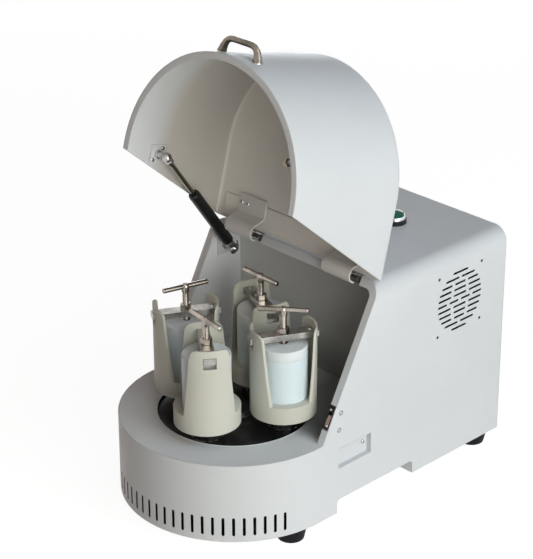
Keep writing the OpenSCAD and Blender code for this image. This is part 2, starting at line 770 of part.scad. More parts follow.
module strut_cylinder() placed() color(black) on_strut() difference() {
  union() {
    strut_ball();
    rotate([0, 90, 0]) cylinder(r = rod_r + 1, h = strut_neck + 1);
    translate([strut_neck, 0, 0]) rotate([0, 90, 0]) cylinder(r = strut_r, h = strut_tube);
  }
  rotate([90, 0, 0]) cylinder(r = stud_r + run_gap, h = 4 * ball_r, center = true);
  translate([strut_neck + 4, 0, 0]) rotate([0, 90, 0]) cylinder(r = rod_r + run_gap, h = strut_tube);
}

module strut_rod() placed() color(steel) on_strut() {
  translate([strut_len, 0, 0]) strut_ball();
  start = strut_neck + 4 + strut_stroke + 6;
  translate([start, 0, 0]) rotate([0, 90, 0]) cylinder(r = rod_r, h = strut_len - start);
  translate([strut_len - strut_neck, 0, 0]) rotate([0, 90, 0]) cylinder(r = rod_r + 1, h = strut_neck);
}

module hinge_knuckles() placed() color(steel) for (x = arm_x) translate([x, hinge_y, hinge_z]) {
  leaf_z = hinge_drop - sheet - arm_t;
  clear = barrel_r + 1.5;
  rotate([0, 90, 0]) cylinder(r = pin_r, h = arm_w, center = true);
  for (side = [-1, 1]) {
    x0 = side < 0 ? -arm_w / 2 : arm_w / 2 - knuckle_w;
    translate([x0, 0, 0]) rotate([0, 90, 0]) cylinder(r = barrel_r, h = knuckle_w);
    translate([x0, 0, leaf_z]) cube([knuckle_w, clear + 1, arm_t]);
  }
  translate([-arm_w / 2, clear, leaf_z]) cube([arm_w, 24, arm_t]);
}

// Part of a hinge arm bend, between two angles
module arm_bend_2d(from, to) translate(arm_bend_at) intersection() {
  difference() {
    circle(arm_bend_r + arm_t / 2);
    circle(arm_bend_r - arm_t / 2);
  }
  polygon(concat([[0, 0]], [for (k = [0:4]) let (a = from + (to - from) * k / 4)
    2 * (arm_bend_r + arm_t) * [cos(a), sin(a)]]));
}

module hinge_arms() placed() color(paint) for (x = arm_x) translate([x, hinge_y, hinge_z]) {
  inner = hinge_drop - sheet - sheet;
  leaf_from = -24;
  half = arm_w / 2;
  mid = half - knuckle_w - 0.4;
  top = arm_bend_at + arm_bend_r * [cos(78), sin(78)];
  leaf_mid = [leaf_from * cos(hood_open) + (inner - arm_t / 2) * sin(hood_open),
    -leaf_from * sin(hood_open) + (inner - arm_t / 2) * cos(hood_open)];
  across(-half, half) {
    arm_bend_2d(76, 258);
    strip_2d(top, leaf_mid, arm_t);
    rotate(-hood_open) translate([leaf_from - arm_leaf, inner - arm_t]) square([arm_leaf + arm_t / 2, arm_t]);
  }
  difference() {
    across(-mid, mid) {
      arm_bend_2d(250, 292);
      circle(barrel_r);
    }
    rotate([0, 90, 0]) cylinder(r = pin_r + run_gap, h = 2 * arm_w, center = true);
  }
}

// Half section of the hood, as a radius and a height, run out by a margin at the mouth and the middle
module hood_half_2d(inset, margin) {
  r = drum_r - inset;
  h = box_h - inset - mouth_z;
  e = hood_edge_r - inset;
  translate([-margin, -margin]) {
    square([r - e + margin, h + margin]);
    square([r + margin, h - e + margin]);
  }
  translate([r - e, h - e]) intersection() {
    circle(e);
    square(e);
  }
}

module hood_section_2d() difference() {
  hood_half_2d(0, 0);
  hood_half_2d(sheet, 1);
}

module hood_shell() placed() color(paint) opened() {
  lip_in = drum_r - lip_w;
  translate([0, 0, mouth_z]) rotate([0, 0, 180]) {
    rotate_extrude(angle = 180, $fn = 128) hood_section_2d();
    rotate_extrude(angle = 180, $fn = 128) translate([lip_in, 0]) square([lip_w - sheet / 2, sheet]);
  }
  intersection() {
    union() {
      both_sides() translate([0, 0, mouth_z]) along(0, slope_top_y) hood_section_2d();
      both_sides() translate([lip_in, 0, mouth_z]) cube([lip_w - sheet / 2, hood_low_y, sheet]);
      translate([-drum_r + 14, hood_top_y - strip_w, box_h - 2 * sheet])
        cube([body_w - 28, strip_w - 4, sheet + eps]);
    }
    across(-drum_r, drum_r) polygon([
      [0, mouth_z], [hood_low_y, mouth_z], [hood_top_y, box_h], [0, box_h]
    ]);
  }
}

module hood_handle() placed() color(steel) opened() {
  lean = atan2((handle_span - handle_top) / 2, handle_h);
  difference() {
    translate([0, -drum_r - handle_h, mouth_z + handle_up]) {
      rotate([0, 90, 0]) cylinder(d = handle_d, h = handle_top, center = true);
      both_sides() translate([handle_top / 2, 0, 0]) {
        sphere(d = handle_d + handle_weld);
        rotate([0, 0, 90 - lean]) rotate([0, 90, 0])
          cylinder(d1 = handle_d, d2 = handle_root_d, h = handle_h + 10);
      }
    }
    cylinder(r = drum_r, h = far, $fn = 128);
  }
}

module hood_striker() placed() color(steel) opened() {
  y = hood_low_y + striker_s * sin(slope_angle) - striker_size.y - 7;
  z = deck_h + striker_s * cos(slope_angle) - striker_size.z / 2;
  translate([inside_r - striker_size.x, y, z]) cube(striker_size - [panel_gap, 0, 0]);
  rotate([0, 0, hood_stud_turn]) translate([inside_r - hood_stud[1], 0, mouth_z + hood_stud_up])
    rotate([0, 90, 0]) cylinder(r = hood_stud[0], h = hood_stud[1] - panel_gap);
}

module cabinet_screws() placed() color(steel) {
  for (p = switch_screws) flat_screw_at(p.x, p.y, 0);
  translate([drum_r - pocket_depth, pocket_at.x + pocket_size.x - pocket_screw_in, pocket_at.y + 16])
    rotate([0, 90, 0]) cylinder(r = screw_r, h = 1.4);
  both_sides() for (z = [24, box_h / 2, box_h - top_round - 8])
    translate([fit_r - 12, rear_y, z]) rotate([-90, 0, 0]) cylinder(r = screw_r, h = 1.6);
}

// Planet places, counted from 0
module planet_at(i) rotate([0, 0, planet_phase + 90 * i]) translate([planet_r, 0, 0])
  rotate([0, 0, -planet_phase - 90 * i]) children();

module turntable_disc() placed() color(black) difference() {
  union() {
    translate([0, 0, disc_low]) cylinder(r = disc_r, h = disc_t, $fn = 128);
    for (i = [0:3]) planet_at(i) translate([0, 0, disc_top])
      cylinder(r = boss_r, h = holder_z - spindle_flange_t - spindle_flange_gap - disc_top);
  }
  for (i = [0:3]) planet_at(i) translate([0, 0, disc_low - 1]) cylinder(r = spindle_r + run_gap, h = far);
  translate([0, 0, disc_low - 1]) cylinder(r = shaft_r + run_gap, h = far);
}

module main_shaft() placed() color(steel) {
  translate([0, 0, main_pulley_z - 2]) cylinder(r = shaft_r, h = disc_top - main_pulley_z + 3);
  translate([0, 0, disc_top]) cylinder(r1 = hub_r, r2 = hub_r - 2, h = hub_h);
  translate([0, 0, disc_top + hub_h - 1]) cylinder(r = hub_nut[0], h = hub_nut[1] + 1, $fn = 6);
}

module main_pulley() placed() color(grey)
  translate([0, 0, main_pulley_z]) pulley(main_pulley_r, shaft_r + run_gap);

module motor_pulley() placed() color(grey) translate([0, motor_y, 0]) {
  translate([0, 0, main_pulley_z]) pulley(motor_pulley_r, motor_shaft_r - 1);
  translate([0, 0, main_pulley_z - 1]) cylinder(r = motor_shaft_r, h = plate_top + 44 - main_pulley_z);
}

// Each belt joins two opposite jar pulleys across the fixed pulley
module planet_belts() placed() color(black)
  for (pair = [0, 1]) rotate([0, 0, planet_phase - 90 + 90 * pair])
    translate([0, 0, planet_low_z[pair] + belt_in])
      belt([-planet_r, 0, planet_r], [planet_pulley_r, sun_r, planet_pulley_r]);

module spindle(i) placed() color(steel) planet_at(i) {
  low = planet_low_z[i % 2];
  translate([0, 0, low - 1]) cylinder(r = spindle_r, h = holder_z - low);
  translate([0, 0, holder_z - spindle_flange_t]) cylinder(r = boss_r, h = spindle_flange_t);
  translate([0, 0, low]) pulley(planet_pulley_r, spindle_r - 1);
}

module upright_2d() {
  foot = upright_half[0];
  top = upright_half[1];
  r = upright_round;
  polygon([
    [-foot, 0], [foot, 0], [top, upright_h - r],
    [top - r, upright_h], [r - top, upright_h], [-top, upright_h - r]
  ]);
  for (side = [-1, 1]) translate([side * (top - r), upright_h - r]) circle(r);
}

module holder(i) placed() color(cream) planet_at(i) translate([0, 0, holder_z]) rotate([0, 0, bar_turn[i]])
  difference() {
    union() {
      cylinder(r = holder_r, h = collar_h);
      intersection() {
        cylinder(r = holder_r, h = upright_h);
        across(-far, far) upright_2d();
      }
    }
    translate([0, 0, holder_floor]) cylinder(r = jar_r + jar_gap, h = far);
    translate([0, 0, collar_h]) cylinder(r = holder_r - holder_wall, h = far);
    translate([-far, -window_w / 2, window_low]) cube([2 * far, window_w, window_h]);
  }

module jar(i) placed() color("white") planet_at(i) translate([0, 0, jar_z]) difference() {
  cylinder(r = jar_r, h = jar_h);
  translate([0, 0, jar_wall + 2]) cylinder(r = jar_r - jar_wall, h = far);
}

module jar_lid(i) placed() color("white") planet_at(i) translate([0, 0, lid_z]) difference() {
  union() {
    cylinder(r = jar_r, h = lid_h - 1);
    translate([0, 0, lid_h - 1]) cylinder(r1 = jar_r, r2 = jar_r - 1, h = 1);
    translate([0, 0, -4]) cylinder(r = jar_r - jar_wall - 0.3, h = 5);
  }
  translate([0, 0, lid_h - 2]) cylinder(r = clamp_r + 2, h = far);
}

module clamp_bar(i) placed() color(steel) planet_at(i) translate([0, 0, bar_z]) rotate([0, 0, bar_turn[i]])
  difference() {
    inner = holder_r - holder_wall - 1;
    union() {
      translate([-inner, -bar_w / 2, 0]) cube([2 * inner, bar_w, bar_t]);
      translate([-bar_l / 2, -bar_w / 2 + 1, 0]) cube([bar_l, bar_w - 2, bar_t]);
    }
    translate([0, 0, -1]) cylinder(r = clamp_r + run_gap, h = far);
  }

module clamp_screw(i) placed() color(steel)
  planet_at(i) translate([0, 0, bar_z + bar_t]) rotate([0, 0, grip_turn[i]]) {
  tip = lid_z + lid_h - 2 + 0.3 - bar_z - bar_t;
  translate([0, 0, tip]) cylinder(r = clamp_r, h = grip_up - tip);
  translate([0, 0, 0.4]) cylinder(r = nut_r, h = nut_h, $fn = 6);
  translate([0, 0, grip_up - 6]) cylinder(r = clamp_r + 1, h = 6);
  translate([-grip_l / 2, 0, grip_up]) rotate([0, 90, 0]) cylinder(r = grip_r, h = grip_l);
}

housing_shell();
deck_plate();
inner_wall();
rear_panel();
base_plate();
feet();
mounting_plate();
support_pillars();
bearing_housing();
sun_pulley();
motor();
drive_belt();
fan_frame();
button_body();
button_ring();
speed_controller();
power_inlet();
safety_switch();
strut_bracket_lower();
hinge_knuckles();
cabinet_screws();
hood_shell();
hood_handle();
hinge_arms();
strut_bracket_upper();
hood_striker();
strut_cylinder();
strut_rod();
turntable_disc();
main_shaft();
main_pulley();
planet_belts();
motor_pulley();
fan_impeller();
button_cap();
speed_knob();
for (i = [0:3]) {
  holder(i);
  jar(i);
  jar_lid(i);
  clamp_bar(i);
  clamp_screw(i);
  spindle(i);
}
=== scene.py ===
# Bench planetary ball mill, dressed over its CAD frame.
# Blender's objects are in metres. Places and forms are in the part's own millimetres.
import json
import math

import bmesh
import bpy
from mathutils import Matrix, Vector


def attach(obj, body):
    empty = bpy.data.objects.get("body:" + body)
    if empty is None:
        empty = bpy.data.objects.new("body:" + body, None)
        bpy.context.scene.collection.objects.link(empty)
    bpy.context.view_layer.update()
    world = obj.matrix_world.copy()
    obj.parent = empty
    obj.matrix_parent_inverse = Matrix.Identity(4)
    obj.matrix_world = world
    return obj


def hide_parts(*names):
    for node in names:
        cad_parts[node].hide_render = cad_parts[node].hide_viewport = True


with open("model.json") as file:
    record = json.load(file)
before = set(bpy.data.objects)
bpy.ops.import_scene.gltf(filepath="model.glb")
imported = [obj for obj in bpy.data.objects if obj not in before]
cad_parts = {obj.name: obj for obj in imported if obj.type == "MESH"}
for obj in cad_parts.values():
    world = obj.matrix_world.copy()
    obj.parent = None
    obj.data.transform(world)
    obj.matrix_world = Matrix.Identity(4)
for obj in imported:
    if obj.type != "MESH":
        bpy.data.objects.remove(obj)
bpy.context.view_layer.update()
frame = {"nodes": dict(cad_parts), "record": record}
nodes = frame["nodes"]
scene = bpy.context.scene
scene.view_settings.view_transform = "Standard"


# Places and sizes that the CAD part sets, in millimetres and degrees
# The part's origin is on the drum's axis, SHIFT_Y in front of the middle and FOOT_H above the floor

MM = 0.001
RIGHT, BACK, UP, DOWN = (1, 0, 0), (0, 1, 0), (0, 0, 1), (0, 0, -1)
SHIFT_Y = 101.25
FOOT_H = 20.0
HINGE_Y, HINGE_Z = 105.8, 294.0
HOOD_SWING = -104.6
HOOD_MIDDLE_Y, HOOD_MIDDLE_Z = 20.0, 205.0
HOOD_R = 147.4
LIP_Z = 111.76
HANDLE_Z = 133.1
FLANGE_FOOT = (8.0, 108.5)
FLANGE_WAY = (0.4667, 0.8844)
SIDE_SCREWS = ((46, 12), (24, 20))
SIDE_SCREW_RIM = 3.4
FAN_Y, FAN_Z = 260.0, 225.5
FAN_SCREW = 41.25
FAN_SCREW_R = 2.1
GRILLE_R = 44.5
SHEET_R, SHEET_REACH = 148.83, 1.02
SIDE_FROM = 145.0
VENT_Z, VENT_REACH, VENT_BACK = 21.6, 13.8, 41.25
BRACKET_X = -145.9
PLATE_Y, PLATE_Z = 14.0, 168.5
STRUT_X = -129.0
STRUT_LOW_Y, STRUT_LOW_Z = 122.0, 252.0
STRUT_HIGH_Y, STRUT_HIGH_Z = 7.5, 414.5
FIRST_STATION = (20.8, -67.25)
BAR_TURNS = (-37, 62, -22, 60)
GRIP_TURNS = (-8, 39, -2, 73.5)
DECK_HOLE_R = 100.2
DECK_Z = 108.2


def at(x, y, z):
    """A place of the part as a point in Blender's metres."""
    return Vector((x, y - SHIFT_Y, z + FOOT_H)) * MM


def frame_at(origin, up, side=None):
    """Frame with its Z along up and its X near side, in millimetres."""
    z = Vector(up).normalized()
    side = Vector(side or (RIGHT if abs(z.x) < 0.9 else BACK))
    x = (side - z * side.dot(z)).normalized()
    turn = Matrix((x, z.cross(x), z)).transposed().to_4x4()
    return Matrix.Translation(origin) @ turn @ Matrix.Scale(MM, 4)


def slope(s, n):
    """Y and Z of a point s along the sloping flange and n behind it."""
    (y, z), (way_y, way_z) = FLANGE_FOOT, FLANGE_WAY
    return y + way_y * s + way_z * n, z + way_z * s - way_y * n


HINGE = at(0, HINGE_Y, HINGE_Z)
SWING = Matrix.Rotation(math.radians(HOOD_SWING), 4, "X")
OPENED = Matrix.Translation(HINGE) @ SWING @ Matrix.Translation(-HINGE)
MOUTH_WAY = SWING.to_3x3() @ Vector(DOWN)
STRUT_LOW = at(STRUT_X, STRUT_LOW_Y, STRUT_LOW_Z)
STRUT_UP = (at(STRUT_X, STRUT_HIGH_Y, STRUT_HIGH_Z) - STRUT_LOW).normalized()
STRUT = frame_at(STRUT_LOW, STRUT_UP, RIGHT)


def mouth_level(z):
    """How far a height of the closed hood lies towards the open hood's mouth."""
    return (OPENED @ at(0, 0, z)).dot(MOUTH_WAY)


# Shader helpers

NOISE_SPAN = (0.3, 0.7)
MIX_FACTOR, MIX_A, MIX_B, MIX_OUT = 0, 6, 7, 2


def new_material(name):
    mat = bpy.data.materials.new(name)
    mat.use_nodes = True
    tree = mat.node_tree
    tree.nodes.clear()
    out = tree.nodes.new("ShaderNodeOutputMaterial")
    bsdf = tree.nodes.new("ShaderNodeBsdfPrincipled")
    tree.links.new(bsdf.outputs[0], out.inputs[0])
    return mat, tree, bsdf


def node(tree, kind, **values):
    n = tree.nodes.new(kind)
    for key, value in values.items():
        setattr(n, key, value)
    return n


def feed(tree, socket, value):
    """Links another node's socket, or sets a plain value."""
    if isinstance(value, bpy.types.NodeSocket):
        tree.links.new(value, socket)
    else:
        socket.default_value = value


def math_node(tree, operation, *values):
    n = node(tree, "ShaderNodeMath", operation=operation)
    for socket, value in zip(n.inputs, values):
        feed(tree, socket, value)
    return n.outputs[0]


def product(tree, a, b):
    return math_node(tree, "MULTIPLY", a, b)


def vector_math(tree, operation, a, b):
    n = node(tree, "ShaderNodeVectorMath", operation=operation)
    feed(tree, n.inputs[0], a)
    feed(tree, n.inputs[1], b)
    return n.outputs["Value" if operation == "DOT_PRODUCT" else "Vector"]


def coords(tree, scale=(1, 1, 1), offset=(0, 0, 0)):
    tex = tree.nodes.new("ShaderNodeTexCoord")
    mapping = node(tree, "ShaderNodeMapping")
    mapping.inputs["Scale"].default_value = scale
    mapping.inputs["Location"].default_value = offset
    tree.links.new(tex.outputs["Object"], mapping.inputs["Vector"])
    return mapping.outputs[0]


def part_axes(tree):
    """X, Y and Z of the surface in the part's own millimetres."""
    n = tree.nodes.new("ShaderNodeSeparateXYZ")
    in_part = coords(tree, scale=[1 / MM] * 3, offset=(0, SHIFT_Y, -FOOT_H))
    tree.links.new(in_part, n.inputs[0])
    return tuple(n.outputs)


def noise(tree, vector, scale, detail=3.0, rough=0.5):
    n = node(tree, "ShaderNodeTexNoise")
    n.inputs["Scale"].default_value = scale
    n.inputs["Detail"].default_value = detail
    n.inputs["Roughness"].default_value = rough
    tree.links.new(vector, n.inputs["Vector"])
    return n.outputs["Fac"]


def turned_rings(tree, scale):
    """Turned rings about the drum's axis."""
    n = node(tree, "ShaderNodeTexWave", wave_type="RINGS", rings_direction="Z")
    n.inputs["Scale"].default_value = scale
    n.inputs["Distortion"].default_value = 0.6
    n.inputs["Detail"].default_value = 3.0
    tree.links.new(coords(tree, offset=(0, SHIFT_Y * MM, 0)), n.inputs["Vector"])
    return n.outputs["Fac"]


def remap(tree, value, low, high, to_low=0.0, to_high=1.0):
    n = node(tree, "ShaderNodeMapRange")
    n.inputs["From Min"].default_value = low
    n.inputs["From Max"].default_value = high
    n.inputs["To Min"].default_value = to_low
    n.inputs["To Max"].default_value = to_high
    tree.links.new(value, n.inputs["Value"])
    return n.outputs[0]


def mix_colour(tree, fac, a, b):
    n = node(tree, "ShaderNodeMix", data_type="RGBA")
    feed(tree, n.inputs[MIX_FACTOR], fac)
    for socket, value in ((MIX_A, a), (MIX_B, b)):
        feed(tree, n.inputs[socket], (*value, 1.0) if isinstance(value, tuple) else value)
    return n.outputs[MIX_OUT]


def scaled(colour, factor):
    return tuple(min(1.0, c * factor) for c in colour)


def vary_roughness(tree, bsdf, field, rough, spread):
    low = max(0.02, rough - spread)
    tree.links.new(remap(tree, field, *NOISE_SPAN, low, rough + spread), bsdf.inputs["Roughness"])


def bump(tree, bsdf, height, strength, distance, edge):
    """Fine relief over edges that look rounded."""
    rounded = node(tree, "ShaderNodeBevel", samples=4)
    rounded.inputs["Radius"].default_value = edge
    n = node(tree, "ShaderNodeBump")
    n.inputs["Strength"].default_value = strength
    n.inputs["Distance"].default_value = distance
    tree.links.new(height, n.inputs["Height"])
    tree.links.new(rounded.outputs[0], n.inputs["Normal"])
    tree.links.new(n.outputs[0], bsdf.inputs["Normal"])


def true_normal(tree):
    return tree.nodes.new("ShaderNodeNewGeometry").outputs["True Normal"]


def flatness(tree, radius):
    """One on a flat face, and less within the radius of an edge."""
    rounded = node(tree, "ShaderNodeBevel", samples=6)
    rounded.inputs["Radius"].default_value = radius
    return vector_math(tree, "DOT_PRODUCT", rounded.outputs[0], true_normal(tree))


# Masks that place painted shade and painted light on the part

def spot(tree, a, b, radius):
    """One where the offsets a and b lie inside a circle."""
    away = math_node(tree, "ADD", product(tree, a, a), product(tree, b, b))
    return math_node(tree, "LESS_THAN", math_node(tree, "SQRT", away), radius)


def in_sheet(tree, value):
    """One inside the thickness of the side or drum sheet."""
    return math_node(tree, "COMPARE", value, SHEET_R, SHEET_REACH)


def slot_wall_shade(tree):
    """One on the walls of the fan grille and the drum's vents, and over the fan's four screws, for painted
    shade.
    """
    x, y, z = part_axes(tree)
    on_side = math_node(tree, "GREATER_THAN", x, SIDE_FROM)
    fan_y = math_node(tree, "SUBTRACT", y, FAN_Y)
    fan_z = math_node(tree, "SUBTRACT", z, FAN_Z)
    grille = product(tree, spot(tree, fan_y, fan_z, GRILLE_R), in_sheet(tree, x))
    radius = math_node(tree, "SQRT", math_node(tree, "ADD", product(tree, x, x), product(tree, y, y)))
    low = math_node(tree, "COMPARE", z, VENT_Z, VENT_REACH)
    in_front = math_node(tree, "LESS_THAN", y, VENT_BACK)
    vents = product(tree, product(tree, low, in_front), in_sheet(tree, radius))
    corner_y = math_node(tree, "SUBTRACT", math_node(tree, "ABSOLUTE", fan_y), FAN_SCREW)
    corner_z = math_node(tree, "SUBTRACT", math_node(tree, "ABSOLUTE", fan_z), FAN_SCREW)
    dots = product(tree, spot(tree, corner_y, corner_z, FAN_SCREW_R), on_side)
    return math_node(tree, "MAXIMUM", math_node(tree, "MAXIMUM", grille, vents), dots)


def screw_shadows(tree):
    """One round the two screws beside the switch."""
    x, y, z = part_axes(tree)
    marks = []
    for s, n in SIDE_SCREWS:
        screw_y, screw_z = slope(s, n)
        off_y = math_node(tree, "SUBTRACT", y, screw_y)
        off_z = math_node(tree, "SUBTRACT", z, screw_z)
        marks.append(spot(tree, off_y, off_z, SIDE_SCREW_RIM))
    on_side = math_node(tree, "GREATER_THAN", x, SIDE_FROM)
    return product(tree, math_node(tree, "MAXIMUM", *marks), on_side)


def inside(axis, low, high, fade):
    """Spans that are full between two places on an axis."""
    return [(axis, low - fade, low + fade), (axis, high + fade, high - fade)]


def ramps(tree, spans):
    """Product of ramps from zero to one, each from one place on an axis to another."""
    axes = dict(zip("xyz", part_axes(tree)))
    out = 1.0
    for axis, start, full in spans:
        out = product(tree, remap(tree, axes[axis], start, full), out)
    return out


def paint_hood_light_and_shade(tree, out, colours):
    """Painted shade on the hood's inner wall where it lies deep, painted warm light on its inner back, and
    painted light on its lip.
    """
    wall_from, wall_full = 161.76, 190.76
    tex = tree.nodes.new("ShaderNodeTexCoord")
    place, normal = tex.outputs["Object"], tex.outputs["Normal"]
    away = vector_math(tree, "SUBTRACT", place, OPENED @ at(0, HOOD_MIDDLE_Y, HOOD_MIDDLE_Z))
    inward = math_node(tree, "LESS_THAN", vector_math(tree, "DOT_PRODUCT", normal, away), 0.0)
    level = vector_math(tree, "DOT_PRODUCT", place, MOUTH_WAY)
    deep = remap(tree, level, mouth_level(wall_from), mouth_level(wall_full))
    out = mix_colour(tree, product(tree, inward, deep), out, colours["wall"])
    faces_mouth = math_node(tree, "GREATER_THAN", vector_math(tree, "DOT_PRODUCT", normal, MOUTH_WAY), 0.5)
    out = mix_colour(tree, product(tree, inward, faces_mouth), out, colours["back"])
    on_lip = math_node(tree, "GREATER_THAN", level, mouth_level(LIP_Z))
    return mix_colour(tree, on_lip, out, colours["lip"])


# Materials

def painted(name, colour, rough=0.42, vary=0.025, peel=900.0, depth=0.00012, edge=0.0008, shine=0.5,
            edge_wear_and_highlight=None, upward_shade=None, hood_light_and_shade=None, shade=(), slot_shade=False):
    """Sprayed paint with faint clouds and fine peel.

    Optional extras: the edge colour marks wear together with a painted highlight, the upward
    colour is painted shade on faces that look up, and the hood's colours are painted shade deep in
    its inside and painted light on its back and lip. shade lists spans of the part with a factor of
    the colour in each, below one painted shade and above one painted light. The slot flag paints
    shade on the walls of the slots and painted shadow rims round the side screws.
    """
    mat, tree, bsdf = new_material(name)
    v = coords(tree)
    cloud = remap(tree, noise(tree, v, 9.0, detail=4.0), *NOISE_SPAN)
    out = mix_colour(tree, cloud, scaled(colour, 1 - vary), scaled(colour, 1 + vary))
    # Lighter edges: wear, and painted highlight where the edges catch the light.
    if edge_wear_and_highlight:
        out = mix_colour(tree, remap(tree, flatness(tree, edge), 0.98, 0.86, to_high=0.8), out, edge_wear_and_highlight)
    # Faces that look up go near black: painted shade.
    if upward_shade:
        normal = tree.nodes.new("ShaderNodeSeparateXYZ")
        tree.links.new(true_normal(tree), normal.inputs[0])
        out = mix_colour(tree, remap(tree, normal.outputs["Z"], 0.4, 0.6), out, upward_shade)
    # Hood inside: painted shade deep in, painted warm light on the back, painted light on the lip.
    if hood_light_and_shade:
        out = paint_hood_light_and_shade(tree, out, hood_light_and_shade)
    # A span's factor below one is painted shade, above one painted light.
    for spans, factor in shade:
        out = mix_colour(tree, ramps(tree, spans), out, scaled(colour, factor))
    # Painted shadow rims round the side screws, and painted shade on the slot walls and round the fan's
    # screws.
    if slot_shade:
        out = mix_colour(tree, screw_shadows(tree), out, (0.16, 0.16, 0.165))
        out = mix_colour(tree, slot_wall_shade(tree), out, (0.006, 0.006, 0.006))
    tree.links.new(out, bsdf.inputs["Base Color"])
    vary_roughness(tree, bsdf, noise(tree, v, 40.0), rough, spread=0.05)
    bsdf.inputs["Specular IOR Level"].default_value = shine
    bump(tree, bsdf, noise(tree, v, peel, detail=2.0), strength=0.35, distance=depth, edge=edge)
    return mat


def metal(name, colour, rough, stretch=(1, 1, 1), spread=0.06, stain=0.82):
    """Bare metal with a fine grain, and stains in patches."""
    mat, tree, bsdf = new_material(name)
    bsdf.inputs["Metallic"].default_value = 1.0
    grain = noise(tree, coords(tree, stretch), 300.0, detail=5.0, rough=0.6)
    cloud = remap(tree, noise(tree, coords(tree), 60.0, detail=4.0), 0.35, 0.65)
    tree.links.new(mix_colour(tree, cloud, scaled(colour, stain), colour), bsdf.inputs["Base Color"])
    vary_roughness(tree, bsdf, grain, rough, spread)
    bump(tree, bsdf, grain, strength=0.25, distance=0.00005, edge=0.0004)
    return mat


def moulded(name, colour, rough=0.5, grain=1500.0, depth=0.0001, edge=0.0005, vary=0.15, shine=0.5,
            milky=0.0):
    """Plastic, rubber or glass with a moulded grain; milky lets light into it."""
    mat, tree, bsdf = new_material(name)
    v = coords(tree)
    cloud = remap(tree, noise(tree, v, 30.0, detail=4.0), *NOISE_SPAN)
    tree.links.new(mix_colour(tree, cloud, scaled(colour, 1 - vary), colour), bsdf.inputs["Base Color"])
    vary_roughness(tree, bsdf, noise(tree, v, 120.0), rough, spread=0.06)
    bsdf.inputs["Specular IOR Level"].default_value = shine
    if milky:
        bsdf.inputs["Subsurface Weight"].default_value = milky
        bsdf.inputs["Subsurface Radius"].default_value = (0.7, 0.9, 1.0)
        bsdf.inputs["Subsurface Scale"].default_value = 0.004
    bump(tree, bsdf, noise(tree, v, grain, detail=2.0), strength=0.4, distance=depth, edge=edge)
    return mat


def turned_black(name, colour, dusty, ring_scale):
    """Black coat over a turned face: faint rings, grey dust in patches, and chipped edges."""
    mat, tree, bsdf = new_material(name)
    v = coords(tree)
    dust = noise(tree, v, 260.0, detail=6.0, rough=0.7)
    patch = noise(tree, v, 14.0)
    turned = turned_rings(tree, ring_scale)
    base = mix_colour(tree, turned, scaled(colour, 0.6), scaled(colour, 2.0))
    patchy = remap(tree, patch, 0.45, 0.7, to_low=0.1)
    specks = product(tree, remap(tree, dust, 0.56, 0.72, to_high=dusty), patchy)
    dusted = mix_colour(tree, specks, base, (0.16, 0.16, 0.16))
    edges = remap(tree, flatness(tree, 0.0016), 0.97, 0.88, to_high=0.9)
    chips = product(tree, edges, remap(tree, noise(tree, v, 150.0), 0.5, 0.6))
    tree.links.new(mix_colour(tree, chips, dusted, (0.42, 0.42, 0.43)), bsdf.inputs["Base Color"])
    vary_roughness(tree, bsdf, patch, rough=0.26, spread=0.10)
    bsdf.inputs["Specular IOR Level"].default_value = 0.4
    bump(tree, bsdf, turned, strength=0.3, distance=0.0001, edge=0.0006)
    return mat


SHELL = (0.757, 0.785, 0.815)
# Pale edge colour of the housing and hood: painted highlight along their edges.
EDGE_HIGHLIGHT = (0.90, 0.925, 0.95)
# Hood inside colours: painted shade on the deep wall, painted warm light on the back, painted light on the
# lip.
HOOD_LIGHT_AND_SHADE = {"wall": (0.675, 0.65, 0.61), "back": (0.94, 0.91, 0.86), "lip": (0.90, 0.935, 0.97)}
# Spans of painted shade (low wall, deck, pocket, top) and painted light (left of wall, left inside).
WALL_LOW_SHADE = [("z", 165.0, 122.0)]
WALL_LEFT_LIGHT = [("x", -20.0, -110.0)]
DECK_SHADOW = [("x", 0.0, 40.0), ("y", 3.25, 23.25)]
POCKET_SHADE = [("x", 142.1, 142.3), ("x", 149.9, 149.8)]
POCKET_SHADE += inside("y", 34.25, 98.25, 1.0) + inside("z", 62.0, 96.5, 1.0)
LEFT_INSIDE_LIGHT = inside("x", -149.0, -147.2, 0.2)
TOP_SHADE = [("z", 278.0, 301.5)]
